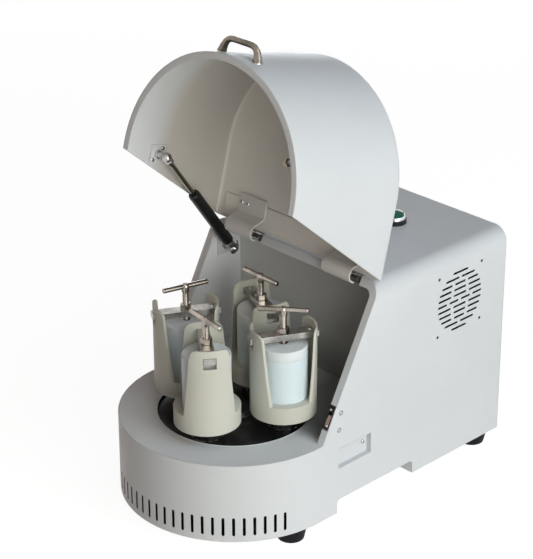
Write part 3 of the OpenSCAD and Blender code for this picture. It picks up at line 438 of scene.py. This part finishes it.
# A darker band along the rear edge of the housing.
HOUSING_REAR = [("y", 349.25, 350.45)]
MATS = {
    "shell_paint": painted("shell_paint", SHELL, shine=0.26),
    "holder_paint": painted("holder_paint", (0.668, 0.672, 0.60), rough=0.44, vary=0.03, edge=0.0012,
                            shine=0.3, edge_wear_and_highlight=(0.84, 0.85, 0.80)),
    # White jar with a blue tint that is painted reflection.
    "jar_plastic": moulded("jar_plastic", (0.805, 0.93, 1.0), rough=0.4, grain=700.0, vary=0.03,
                           edge=0.001, milky=0.12),
    "disc_paint": turned_black("disc_paint", (0.012, 0.012, 0.013), dusty=1.0, ring_scale=60.0),
    "strut_paint": painted("strut_paint", (0.010, 0.010, 0.011), rough=0.34, vary=0.2, peel=1400.0,
                           shine=0.35),
    "foot_rubber": moulded("foot_rubber", (0.012, 0.012, 0.016), rough=0.6, grain=900.0, edge=0.0015,
                           shine=0.12),
    "belt_rubber": moulded("belt_rubber", (0.02, 0.02, 0.02), rough=0.7, shine=0.2),
    "black_plastic": moulded("black_plastic", (0.014, 0.014, 0.016), rough=0.42, shine=0.3),
    "lens_green": moulded("lens_green", (0.002, 0.115, 0.062), rough=0.24, grain=600.0, vary=0.3,
                          shine=0.2),
    # Warm brown steel and dark warm chrome: painted reflection of dark, warm surroundings.
    "steel": metal("steel", (0.46, 0.415, 0.37), rough=0.17, stain=0.55),
    "chrome": metal("chrome", (0.27, 0.235, 0.19), rough=0.1, spread=0.03, stain=0.45),
    "cast_metal": painted("cast_metal", (0.13, 0.145, 0.16), rough=0.5, vary=0.1, peel=500.0,
                          depth=0.0003),
    "plate_steel": painted("plate_steel", (0.10, 0.105, 0.11), rough=0.5, vary=0.06),
    "pulley_metal": metal("pulley_metal", (0.42, 0.43, 0.44), rough=0.36),
}
STEEL, CHROME, BLACK = MATS["steel"], MATS["chrome"], MATS["black_plastic"]
SCREW = metal("screw_steel", (0.60, 0.60, 0.60), rough=0.24)
BAR = metal("bar_steel", (0.56, 0.54, 0.505), rough=0.3, stain=0.6)
BALL = metal("ball_chrome", (0.50, 0.49, 0.47), rough=0.1, spread=0.03)
BRIGHT = metal("bright_chrome", (0.72, 0.71, 0.70), rough=0.12, spread=0.03, stain=0.9)
# Dark warm polished rod: painted reflection of dark, warm surroundings.
ROD = metal("polished_rod", (0.25, 0.23, 0.20), rough=0.12, stretch=(1, 1, 0.05), spread=0.03)
DARK_STEEL = metal("dark_steel", (0.22, 0.215, 0.21), rough=0.34)
STUD = metal("stud_brass", (0.40, 0.33, 0.24), rough=0.2, stain=0.5)
PLATE = painted("bracket_paint", (0.76, 0.775, 0.80), rough=0.36, vary=0.04, peel=600.0, edge=0.0005)
# Hood: painted highlight along its edges, painted shade and painted light on its inside.
HOOD = painted("hood_paint", SHELL, shine=0.12, edge=0.0025, edge_wear_and_highlight=EDGE_HIGHLIGHT, hood_light_and_shade=HOOD_LIGHT_AND_SHADE)
# Warmer copy of the shell paint: painted warm light inside the hood.
ARM = painted("arm_warm_light_paint", (0.77, 0.76, 0.735), shine=0.26)
# Inner wall darker than the shell: painted shade, deeper low down, with painted light on its left.
WALL = painted("wall_shade_paint", (0.655, 0.66, 0.655), shine=0.26, shade=[(WALL_LOW_SHADE, 0.6), (WALL_LEFT_LIGHT, 1.2)])
DECK = painted("deck_paint", SHELL, shine=0.26, shade=[(DECK_SHADOW, 0.45)])
# Housing: painted highlight on edges, painted shade and light in spans, painted shade on slots and screw
# rims.
HOUSING = painted("housing_paint", SHELL, shine=0.26, edge=0.0014, edge_wear_and_highlight=EDGE_HIGHLIGHT, slot_shade=True,
                  shade=[(POCKET_SHADE, 0.86), (TOP_SHADE, 0.885), (LEFT_INSIDE_LIGHT, 1.22), (HOUSING_REAR, 0.55)])
# Base plate: its upper faces near black, painted shade inside the cabinet.
BASE = painted("base_paint", SHELL, shine=0.26, upward_shade=(0.02, 0.02, 0.021))
LIGHT = painted("dial_white", (0.74, 0.74, 0.73), peel=1500.0, edge=0.0002)
LID = moulded("lid_plastic", (0.87, 0.94, 0.975), rough=0.42, grain=700.0, vary=0.03, edge=0.001,
              milky=0.12)
# Near black for screw recesses: painted shade in place of a hollow.
RECESS_SHADE = moulded("recess_shade_black", (0.006, 0.006, 0.006), rough=0.6, shine=0.1)
TONGUE = moulded("switch_tongue", (0.55, 0.36, 0.28), rough=0.36, vary=0.25)
DISPLAY = moulded("display_glass", (0.012, 0.022, 0.018), rough=0.12, grain=200.0, depth=0.00001)
SEGMENT = moulded("display_segment", (0.07, 0.10, 0.085), rough=0.3)
KEYS = moulded("key_rubber", (0.17, 0.18, 0.19), rough=0.6, shine=0.25)
HUB = turned_black("hub_black", (0.014, 0.014, 0.015), dusty=0.5, ring_scale=220.0)
OWN_LOOKS = {
    "housing_shell": HOUSING,
    "hood_shell": HOOD,
    "inner_wall": WALL,
    "deck_plate": DECK,
    "base_plate": BASE,
    "hinge_arms": ARM,
    "hinge_knuckles": DARK_STEEL,
    "support_pillars": DARK_STEEL,
    "strut_bracket_lower": PLATE,
    "strut_bracket_upper": PLATE,
    "cabinet_screws": SCREW,
    "main_shaft": HUB,
}


def use(obj, mat):
    obj.data.materials.clear()
    obj.data.materials.append(mat)


for part in frame["record"]["subparts"]:
    use(nodes[part["node"]], MATS[part["material_slot"]])
for name, mat in OWN_LOOKS.items():
    use(nodes[name], mat)
for i in range(1, 5):
    use(nodes["jar_lid_%d" % i], LID)
    use(nodes["clamp_bar_%d" % i], BAR)


# Mesh helpers: a form is drawn in millimetres in a frame that puts it in its place

def turns(steps):
    return [2 * math.pi * i / steps for i in range(steps)]


class Form:
    def __init__(self):
        self.bm = bmesh.new()

    def skin(self, rings, mat, loop=False):
        """Faces between rings of points; a ring of one point closes the skin there."""
        made = [[self.bm.verts.new(p) for p in ring] for ring in rings]
        pairs = list(zip(made, made[1:])) + ([(made[-1], made[0])] if loop else [])
        for a, b in pairs:
            n = max(len(a), len(b))
            for i in range(n):
                j = (i + 1) % n
                corners = [a[i % len(a)], a[j % len(a)], b[j % len(b)], b[i % len(b)]]
                corners = [v for k, v in enumerate(corners) if v not in corners[:k]]
                if len(corners) > 2:
                    self.bm.faces.new(corners).material_index = mat
        return self

    def lathe(self, where, profile, steps=40, mat=0, loop=False):
        """A profile of (radius, height) turned about the frame's Z."""
        rings = []
        for r, h in profile:
            if r < 1e-6:
                rings.append([where @ Vector((0, 0, h))])
            else:
                rings.append([where @ Vector((r * math.cos(t), r * math.sin(t), h)) for t in turns(steps)])
        return self.skin(rings, mat, loop)

    def tube(self, where, path, radii, steps=20, mat=0):
        """A round bar along a path in the frame, with closed ends."""
        path = [Vector(p) for p in path]
        rings, side = [[where @ path[0]]], None
        for i, p in enumerate(path):
            ahead = (path[min(i + 1, len(path) - 1)] - path[max(i - 1, 0)]).normalized()
            side = side or ahead.orthogonal()
            side = (side - ahead * side.dot(ahead)).normalized()
            over = ahead.cross(side)
            r = radii[i] if isinstance(radii, list) else radii
            rings.append([where @ (p + r * (math.cos(t) * side + math.sin(t) * over)) for t in turns(steps)])
        return self.skin(rings + [[where @ path[-1]]], mat)

    def block(self, where, centre, size, bevel=0.3, mat=0):
        """A box with rounded edges in the frame."""
        part = bmesh.new()
        shape = Matrix.Translation(centre) @ Matrix.Diagonal((*size, 1.0))
        bmesh.ops.create_cube(part, size=1.0, matrix=shape)
        bmesh.ops.bevel(part, geom=part.edges[:], offset=bevel, segments=3, profile=0.5, affect="EDGES")
        part.transform(where)
        for face in part.faces:
            face.material_index = mat
        mesh = bpy.data.meshes.new("part")
        part.to_mesh(mesh)
        part.free()
        self.bm.from_mesh(mesh)
        bpy.data.meshes.remove(mesh)
        return self

    def screw(self, where, r, h):
        """Domed screw head with a crossed recess drawn as dark bars in the second material, painted shade in
        place of a hollow.
        """
        dome = []
        for k in range(6):
            t = math.radians(15 * k)
            dome.append((r * math.cos(t), h * (0.35 + 0.65 * math.sin(t))))
        self.lathe(where, [(r, 0)] + dome + [(0, h)], steps=24)
        for turn in (35, 125):
            bar = where @ Matrix.Rotation(math.radians(turn), 4, "Z")
            self.block(bar, (0, 0, h - 0.22), (1.15 * r, 0.3 * r, 0.5), bevel=0.1, mat=1)
        return self

    def piece(self, name, body, slot, mats, replaces=None, angle=38.0):
        """Closes the form into an object that rides on a body."""
        bmesh.ops.recalc_face_normals(self.bm, faces=self.bm.faces[:])
        mesh = bpy.data.meshes.new(name)
        for face in self.bm.faces:
            face.smooth = True
        self.bm.to_mesh(mesh)
        self.bm.free()
        mesh.set_sharp_from_angle(angle=math.radians(angle))
        for mat in mats:
            mesh.materials.append(mat)
        obj = bpy.data.objects.new(name, mesh)
        scene.collection.objects.link(obj)
        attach(obj, body)
        if replaces:
            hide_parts(replaces)


def smooth_path(points, steps):
    """Points on a smooth curve through the given ones."""
    points = [Vector(p) for p in points]
    ends = [2 * points[0] - points[1]] + points + [2 * points[-1] - points[-2]]
    out = []
    for a, b, c, d in zip(ends, ends[1:], ends[2:], ends[3:]):
        for k in range(steps):
            t = k / steps
            out.append(0.5 * (2 * b + (c - a) * t + (2 * a - 5 * b + 4 * c - d) * t ** 2
                              + (3 * b - a - 3 * c + d) * t ** 3))
    return out + [points[-1]]


def bracket_nut(form, where):
    form.lathe(where, [(6, 0), (6, 3), (5.2, 3.4), (3.6, 3.4)], steps=6)


# Hood: handle, screws on the hinge leaves and on the strut's plate, stud

def handle():
    """Bow through points of (x, y, radius) in the closed hood, with feet of plain steel."""
    foot_y = -147.75
    half = [(0, -166.0, 4.0), (9, -166.0, 4.0), (16.5, -165.7, 4.0), (21.6, -164.4, 4.15),
            (25.2, -161.8, 4.35), (27.6, -158.2, 4.65), (29.2, -154.2, 5.1), (30.3, -150.4, 5.7),
            (31.0, -147.6, 6.1), (31.3, -146.0, 6.3)]
    curve = smooth_path([(-x, y, r) for x, y, r in reversed(half[1:])] + half, 5)
    where = OPENED @ frame_at(at(0, 0, HANDLE_Z), UP)
    form = Form().tube(where, [(p.x, p.y, 0) for p in curve], [p.z for p in curve], steps=28)
    closed = OPENED.inverted()
    for face in form.bm.faces:
        if (closed @ face.calc_center_median()).y > at(0, foot_y, 0).y:
            face.material_index = 1
    form.piece("handle_bow", "hood", "chrome", [CHROME, SCREW], "hood_handle")


def hood_screws():
    leaf_y, leaf_z = 69.8, 293.0
    form = Form()
    for x in (-103, -92, 80, 104):
        form.screw(OPENED @ frame_at(at(x, leaf_y, leaf_z), DOWN), r=3.2, h=1.7)
    for d in (-7.5, 7.5):
        form.screw(OPENED @ frame_at(at(BRACKET_X, PLATE_Y + d, PLATE_Z - d), RIGHT), r=2.8, h=1.6)
    bracket_nut(form, OPENED @ frame_at(at(BRACKET_X, PLATE_Y, PLATE_Z), RIGHT))
    form.piece("hood_screws", "hood", "steel", [SCREW, RECESS_SHADE])


def hood_stud():
    """Washer, shank and hexagon end of the stud on the right inside of the hood."""
    turn = math.radians(-23)
    stud_z = 120.1
    outward = Vector((math.cos(turn), math.sin(turn), 0))
    stud = OPENED @ frame_at(at(HOOD_R * outward.x, HOOD_R * outward.y, stud_z), -outward, UP)
    tip = Form()
    tip.lathe(stud, [(6.4, 0.4), (6.4, 2.0), (5.8, 2.6), (3.6, 2.6)], steps=32)
    tip.lathe(stud, [(3.4, 8.6), (3.7, 8.8), (3.7, 17.0), (3.4, 17.4), (0, 17.4)], steps=32, mat=1)
    tip.lathe(stud, [(0, 17.2), (5.2, 17.2), (5.6, 17.8), (5.6, 20.6), (5.0, 21.4), (2.4, 21.4),
                     (2.4, 19.4), (0, 19.4)], steps=6, mat=2)
    tip.piece("hood_stud_tip", "hood", "steel", [SCREW, DARK_STEEL, STUD])


# Gas strut: painted tube with its gland, polished rod, ball ends with hexagon collars

def ball(form, where, bored, mat=0):
    """Ball end with a raised crown and a flat seat, bored for its stud where asked."""
    r, crown, seat = 6.8, 7.3, -5.7
    neck_r, bore_r, bore_top = 3.7, 3.6, 5.95
    outer = []
    for k in range(19):
        t = math.pi * (k / 18.0 - 0.5)
        high = crown if t > 0 else r
        outer.append((r * math.cos(t), high * math.sin(t)))
    outer = [(r, h) for r, h in outer if h > seat][::-1]
    profile = [(0, crown)] + outer[1:] + [(neck_r, seat)]
    if bored:
        profile += [(bore_r, seat), (bore_r, bore_top), (0, bore_top)]
    else:
        profile += [(0, seat)]
    form.lathe(where, profile, steps=36, mat=mat)


def strut_tube():
    r, low, high = 7.8, 15.4, 122.0
    tube = Form()
    tube.lathe(STRUT, [(4.1, low), (4.1, low + 1.0), (5.2, low + 1.1), (r - 0.8, low + 1.6),
                       (r - 0.2, low + 2.6), (r, low + 4.0), (r, high - 3.4), (r - 0.3, high - 1.6),
                       (r - 1.1, high - 0.4), (5.4, high), (3.8, high), (3.4, high - 0.4),
                       (3.3, high - 3.0)], steps=48)
    tube.lathe(STRUT, [(7.75, 115.6), (7.92, 115.9), (7.92, 116.6), (7.75, 116.9)], steps=48)
    tube.piece("strut_tube_painted", "strut_tube", "strut_paint", [MATS["strut_paint"]], "strut_cylinder")


def strut_low_end():
    """Lower ball with its hexagon collar, neck and wire clip."""
    clip_r, clip_h, wire_r = 7.3, 1.5, 0.7
    low = Form()
    pivot = frame_at(STRUT_LOW, RIGHT, STRUT_UP)
    ball(low, pivot, True)
    low.lathe(STRUT, [(3.0, 5.4), (5.2, 5.8), (5.5, 6.3), (5.5, 12.4), (5.2, 13.0), (3.0, 13.2)], steps=6)
    low.lathe(STRUT, [(3.0, 12.8), (4.2, 12.9), (4.2, 16.6), (3.0, 16.7)], steps=32)
    clip = []
    for degrees in range(95, 276, 15):
        t = math.radians(degrees)
        clip.append((clip_r * math.cos(t), clip_r * math.sin(t), clip_h))
    clip += [(2.4, -8.4, clip_h), (4.2, -10.4, 0.5)]
    low.tube(pivot, smooth_path(clip, 2), wire_r, steps=8, mat=1)
    low.piece("strut_low_ball", "strut_tube", "chrome", [BALL, BLACK])


def strut_rod():
    r, low, high = 3.0, 84.3, 185.2
    pivot = 198.77
    rod = Form()
    rod.lathe(STRUT, [(0, low), (r, low), (r, high), (4.0, high + 0.2), (4.2, high + 0.6),
                      (4.2, high + 2.8), (0, high + 3.0)], steps=36)
    rod.lathe(STRUT, [(r, 187.4), (5.2, 187.6), (5.5, 188.2), (5.5, 192.8), (5.2, 193.4), (r, 193.6)],
              steps=6, mat=1)
    ball(rod, frame_at(STRUT @ Vector((0, 0, pivot)), RIGHT, STRUT_UP), False, 1)
    rod.piece("strut_rod_polished", "strut_piston", "chrome", [ROD, BALL], "strut_rod")


def strut_nut():
    nut = Form()
    bracket_nut(nut, frame_at(at(BRACKET_X, STRUT_LOW_Y, STRUT_LOW_Z), RIGHT))
    nut.piece("strut_low_nut", "cabinet", "steel", [SCREW])


# Jar stations: screw threads, bosses, press pads and pins

def threads(form, where, low, high, r, pitch=1.3):
    profile, h = [(r - 0.3, low)], low
    while h + pitch <= high:
        profile += [(r - 0.1, h + 0.1 * pitch), (r + 0.22, h + 0.5 * pitch), (r - 0.1, h + 0.9 * pitch)]
        h += pitch
    form.lathe(where, profile + [(r - 0.3, high)], steps=24)


def both_ways(degrees):
    """The two opposite directions at an angle in the plane."""
    t = math.radians(degrees)
    out = Vector((math.cos(t), math.sin(t), 0))
    return -out, out


def clamp_fittings(number, x, y, grip):
    """Threads, press pad, boss and collar of a clamp screw, and the end caps of its T-bar."""
    r, bar_z, bar_half = 4.0, 265.0, 30.5
    axis = frame_at(at(x, y, 0), UP)
    form = Form()
    threads(form, axis, 240.6, 257.6, r)
    threads(form, axis, 219.2, 224.8, r)
    form.lathe(axis, [(0, 217.7), (5.0, 217.7), (5.4, 218.1), (5.4, 219.0), (r, 219.4)], steps=32)
    form.lathe(axis, [(r, 257.4), (5.0, 257.8), (5.1, 258.4), (5.1, 264.6), (4.6, 266.8), (3.2, 268.5),
                      (0, 268.9)], steps=32)
    form.lathe(axis, [(4.2, 239.6), (6.9, 240.3), (6.3, 240.75), (r, 240.75)], steps=32)
    for out in both_ways(grip):
        cap = frame_at(at(x, y, bar_z) + out * bar_half * MM, out)
        form.lathe(cap, [(3.25, -0.4), (3.3, 0), (3.1, 0.6), (2.4, 1.1), (0, 1.4)], steps=28)
    form.piece("clamp_%d_fittings" % number, "clamp_%d" % number, "steel", [STEEL])


def bar_pins(number, x, y, lie):
    pin_z, pin_half = 233.0, 35.0
    pins = Form()
    for out in both_ways(lie):
        pins.screw(frame_at(at(x, y, pin_z) + out * pin_half * MM, UP), r=2.2, h=1.3)
    pins.piece("bar_%d_pins" % number, "station_%d" % number, "steel", [SCREW, RECESS_SHADE])


def stations():
    """Fittings of the four stations, a quarter turn apart round the disc."""
    x, y = FIRST_STATION
    for number, (lie, grip) in enumerate(zip(BAR_TURNS, GRIP_TURNS), 1):
        clamp_fittings(number, x, y, grip)
        bar_pins(number, x, y, lie)
        x, y = -y, x


# Cabinet: rim of the deck's hole, screws, switch, button, controls and inlet

def deck_rim():
    r = 0.8
    section = [(DECK_HOLE_R + r * math.cos(t), DECK_Z + r * math.sin(t)) for t in turns(10)]
    form = Form().lathe(frame_at(at(0, 0, 0), UP), section, steps=160, loop=True)
    form.piece("deck_rim", "cabinet", "shell_paint", [DECK])


def cabinet_screws():
    """Screws beside the switch, in the side pocket and on the rear panel."""
    side_x, rear_y = 149.15, 351.0
    form = Form()
    for s, n in SIDE_SCREWS:
        form.screw(frame_at(at(side_x, *slope(s, n)), RIGHT), r=2.6, h=0.78)
    form.screw(frame_at(at(143.2, 88.0, 80.5), RIGHT), r=2.6, h=1.5)
    for x in (-136.4, 136.4):
        for z in (24, 149, 270):
            form.screw(frame_at(at(x, rear_y, z), BACK), r=2.8, h=1.4)
    form.piece("panel_screw_heads", "cabinet", "steel", [SCREW, RECESS_SHADE])


def fan_screws():
    head_x = 148.5
    form = Form()
    for y in (FAN_Y - FAN_SCREW, FAN_Y + FAN_SCREW):
        for z in (FAN_Z - FAN_SCREW, FAN_Z + FAN_SCREW):
            head = frame_at(at(head_x, y, z), RIGHT)
            form.lathe(head, [(0, 0), (1.5, 0), (1.5, 0.9), (1.1, 1.2), (0.5, 0.8), (0, 0.8)], steps=20)
    form.piece("fan_screws", "cabinet", "black_plastic", [BLACK])


def switch():
    """Bent tongue of the safety switch and its two rivets, on the sloping flange."""
    half_w, sheet = 2.5, 0.5
    face = (0, -FLANGE_WAY[1], FLANGE_WAY[0])
    where = frame_at(at(144.3, *slope(0, 0)), face, RIGHT)
    bend = [(39.2, 1.4), (38.0, 0.1), (34.5, -0.7), (30.0, -0.9), (26.0, -0.7), (24.0, 0.0), (23.2, 0.9)]
    curve = smooth_path([(0, s, -n) for s, n in bend], 4)
    corners = [(-half_w, 0, 0), (half_w, 0, 0), (half_w, 0, -sheet), (-half_w, 0, -sheet)]
    sections = [[where @ (p + Vector(c)) for c in corners] for p in curve]
    form = Form().skin([[where @ curve[0]]] + sections + [[where @ curve[-1]]], 0)
    form.piece("switch_tongue", "cabinet", "steel", [TONGUE], angle=50)
    rivets = Form()
    rivets.screw(frame_at(at(142.0, *slope(46.0, 0.5)), face), r=1.5, h=0.8)
    low = frame_at(at(145.2, *slope(25.4, -0.6)), face)
    rivets.lathe(low, [(1.5, 0), (1.5, 0.4), (1.0, 0.9), (0, 1.1)], steps=20)
    rivets.piece("switch_rivets", "cabinet", "steel", [BRIGHT, RECESS_SHADE])


def button():
    where = frame_at(at(34, 260, 303.5), UP)
    ring = [(11.8, 0), (14.4, 0), (14.6, 0.5), (14.5, 1.8), (13.7, 3.9), (12.9, 4.8), (12.3, 5.0),
            (11.9, 4.7), (11.8, 3.6)]
    form = Form().lathe(where, ring, steps=64, loop=True)
    form.piece("button_bezel", "cabinet", "chrome", [BRIGHT], "button_ring", angle=60)


CONTROLS = frame_at(at(-56, 245, 302.0), UP)
KNOB_X, KNOB_Y = 33, -8


def display():
    """Dark window with four plain figures, each with all seven segments."""
    middle_x, middle_y, digit_gap = -15.4, 15.0, 12.4
    segments = [(0, dy, 5, 1) for dy in (6, 0, -6)]
    segments += [(dx, dy, 1, 4.6) for dy in (3, -3) for dx in (-3, 3)]
    form = Form()
    form.block(CONTROLS, (middle_x, middle_y, -0.65), (56.6, 21.4, 1.0), bevel=0.3)
    for digit in range(4):
        x = middle_x + (digit - 1.5) * digit_gap
        for dx, dy, w, h in segments:
            form.block(CONTROLS, (x + dx, middle_y + dy, -0.12), (w, h, 0.2), bevel=0.05, mat=1)
    form.piece("display", "cabinet", "black_plastic", [DISPLAY, SEGMENT])


def keys():
    form = Form()
    for x in (-38, -24, -10):
        where = CONTROLS @ Matrix.Translation((x, -10, 0))
        form.lathe(where, [(5.2, 0), (5.2, 0.5), (4.6, 0.7), (4.4, 1.6), (3.8, 2.1), (0, 2.4)], steps=32)
    form.piece("keys", "cabinet", "foot_rubber", [KEYS])


def dial_marks():
    """Eleven marks round the knob over its travel of 270 degrees, each fifth one longer."""
    count, first, travel = 11, 225, 270
    middle = CONTROLS @ Matrix.Translation((KNOB_X, KNOB_Y, 0))
    form = Form()
    for k in range(count):
        degrees = first - travel * k / (count - 1)
        length = 3.2 if k % 5 == 0 else 2.0
        turn = middle @ Matrix.Rotation(math.radians(degrees), 4, "Z")
        form.block(turn, (14.4, 0, 0.06), (length, 0.7, 0.2), bevel=0.05)
    form.piece("dial_marks", "cabinet", "shell_paint", [LIGHT])


def knob_grip():
    """Ribs round the knob, its top and its pointer line."""
    ribs = 24
    where = CONTROLS @ Matrix.Translation((KNOB_X, KNOB_Y, 0.3))
    form = Form()
    for k in range(ribs):
        turn = where @ Matrix.Rotation(2 * math.pi * (k + 0.5) / ribs, 4, "Z")
        form.block(turn, (10.9, 0, 5.6), (0.9, 1.3, 10.0), bevel=0.35)
    form.lathe(where, [(9.6, 13.9), (9.2, 14.3), (8.2, 14.45), (0, 14.3)], steps=48)
    form.block(where, (0, 6.6, 14.4), (1.0, 5.6, 0.5), bevel=0.1, mat=1)
    form.piece("knob_grip", "knob", "black_plastic", [BLACK, LIGHT])


def inlet():
    form = Form()
    where = frame_at(at(-70, 335, 84), BACK, RIGHT)
    for x, z in ((0, 4.0), (-7, 0.5), (7, 0.5)):
        form.block(where, (x, -z, 5.0), (2.0, 4.0, 12.0), bevel=0.5)
    form.piece("inlet_pins", "cabinet", "steel", [STEEL])


handle()
hood_screws()
hood_stud()
strut_tube()
strut_low_end()
strut_rod()
strut_nut()
stations()
deck_rim()
cabinet_screws()
fan_screws()
switch()
button()
display()
keys()
dial_marks()
knob_grip()
inlet()


# Floor, light and camera

FLOOR_HALF = 8.0
FLOOR_GLOW = 0.94
FLOOR_SEEN = (0.2, 0.2, 0.2)
FLOOR_BOUNCE = (0.86, 0.83, 0.79)
LAMP_AIM = Vector((0, 0, 0.3))
SENSOR = 36.0
FOCAL_PIXELS = 2092.03
PHOTO_HEIGHT_PIXELS = 559.0


def seen_directly(tree):
    """One for rays from the camera, from a reflection or through glass."""
    path = tree.nodes.new("ShaderNodeLightPath")
    value = path.outputs["Is Camera Ray"]
    for name in ("Is Glossy Ray", "Is Transmission Ray"):
        value = math_node(tree, "MAXIMUM", value, path.outputs[name])
    return value


def diffuse(tree, colour):
    n = tree.nodes.new("ShaderNodeBsdfDiffuse")
    n.inputs["Color"].default_value = (*colour, 1)
    return n.outputs[0]


def background(tree, colour, strength):
    n = tree.nodes.new("ShaderNodeBackground")
    n.inputs["Color"].default_value = (*colour, 1)
    n.inputs["Strength"].default_value = strength
    return n.outputs[0]


def show_by_ray(tree, out, lit, seen):
    """Gives one shader to direct rays and another to the light that the object gets."""
    mix = tree.nodes.new("ShaderNodeMixShader")
    tree.links.new(seen_directly(tree), mix.inputs[0])
    tree.links.new(lit, mix.inputs[1])
    tree.links.new(seen, mix.inputs[2])
    tree.links.new(mix.outputs[0], out.inputs[0])


def stage_floor():
    mesh = bpy.data.meshes.new("floor")
    s = FLOOR_HALF
    mesh.from_pydata([(-s, -s, 0), (s, -s, 0), (s, s, 0), (-s, s, 0)], [], [(0, 1, 2, 3)])
    obj = bpy.data.objects.new("floor", mesh)
    scene.collection.objects.link(obj)
    mat = bpy.data.materials.new("floor_white")
    mat.use_nodes = True
    tree = mat.node_tree
    tree.nodes.clear()
    out = tree.nodes.new("ShaderNodeOutputMaterial")
    glow = tree.nodes.new("ShaderNodeEmission")
    glow.inputs["Strength"].default_value = FLOOR_GLOW
    pale = tree.nodes.new("ShaderNodeAddShader")
    tree.links.new(glow.outputs[0], pale.inputs[0])
    tree.links.new(diffuse(tree, FLOOR_SEEN), pale.inputs[1])
    show_by_ray(tree, out, diffuse(tree, FLOOR_BOUNCE), pale.outputs[0])
    mesh.materials.append(mat)


def sky():
    world = bpy.data.worlds.new("studio")
    scene.world = world
    world.use_nodes = True
    tree = world.node_tree
    tree.nodes.clear()
    out = tree.nodes.new("ShaderNodeOutputWorld")
    soft = background(tree, (1.0, 0.5, 0.25), 0.02)
    white = background(tree, (1, 1, 1), 1.0)
    show_by_ray(tree, out, soft, white)


def lamp(name, place, size, power, colour):
    data = bpy.data.lights.new(name, "AREA")
    data.shape = "RECTANGLE"
    data.size, data.size_y = size
    data.energy = power
    data.color = colour
    obj = bpy.data.objects.new(name, data)
    obj.location = place
    obj.rotation_euler = (LAMP_AIM - Vector(place)).to_track_quat("-Z", "Y").to_euler()
    scene.collection.objects.link(obj)


def camera():
    """Pinhole camera fitted to the photograph."""
    place = (1.713572, -1.715346, 1.438436)
    right = Vector((0.699271, 0.714851, -0.002952))
    up = Vector((-0.307175, 0.304204, 0.901722))
    data = bpy.data.cameras.new("camera")
    data.sensor_width = SENSOR
    data.lens = FOCAL_PIXELS * SENSOR / PHOTO_HEIGHT_PIXELS
    data.clip_end = 50.0
    obj = bpy.data.objects.new("camera", data)
    turn = Matrix((right, up, right.cross(up))).transposed().to_4x4()
    obj.matrix_world = Matrix.Translation(place) @ turn
    scene.collection.objects.link(obj)
    scene.camera = obj


stage_floor()
sky()
lamp("key_right", (2.6, -0.9, 1.0), (2.2, 2.0), 54.0, (1.0, 0.99, 0.92))
lamp("right_high", (1.8, 0.3, 2.4), (1.6, 1.6), 19.8, (0.86, 0.945, 1.0))
lamp("right_back", (2.2, 1.6, 1.6), (1.8, 1.8), 4.0, (0.15, 0.45, 1.0))
lamp("left_warm", (-2.6, -0.6, 1.0), (2.0, 2.0), 4.5, (1.0, 0.4, 0.2))
lamp("rear_left", (-2.2, 2.2, 0.24), (2.6, 0.44), 28.0, (0.93, 0.97, 1.0))
camera()
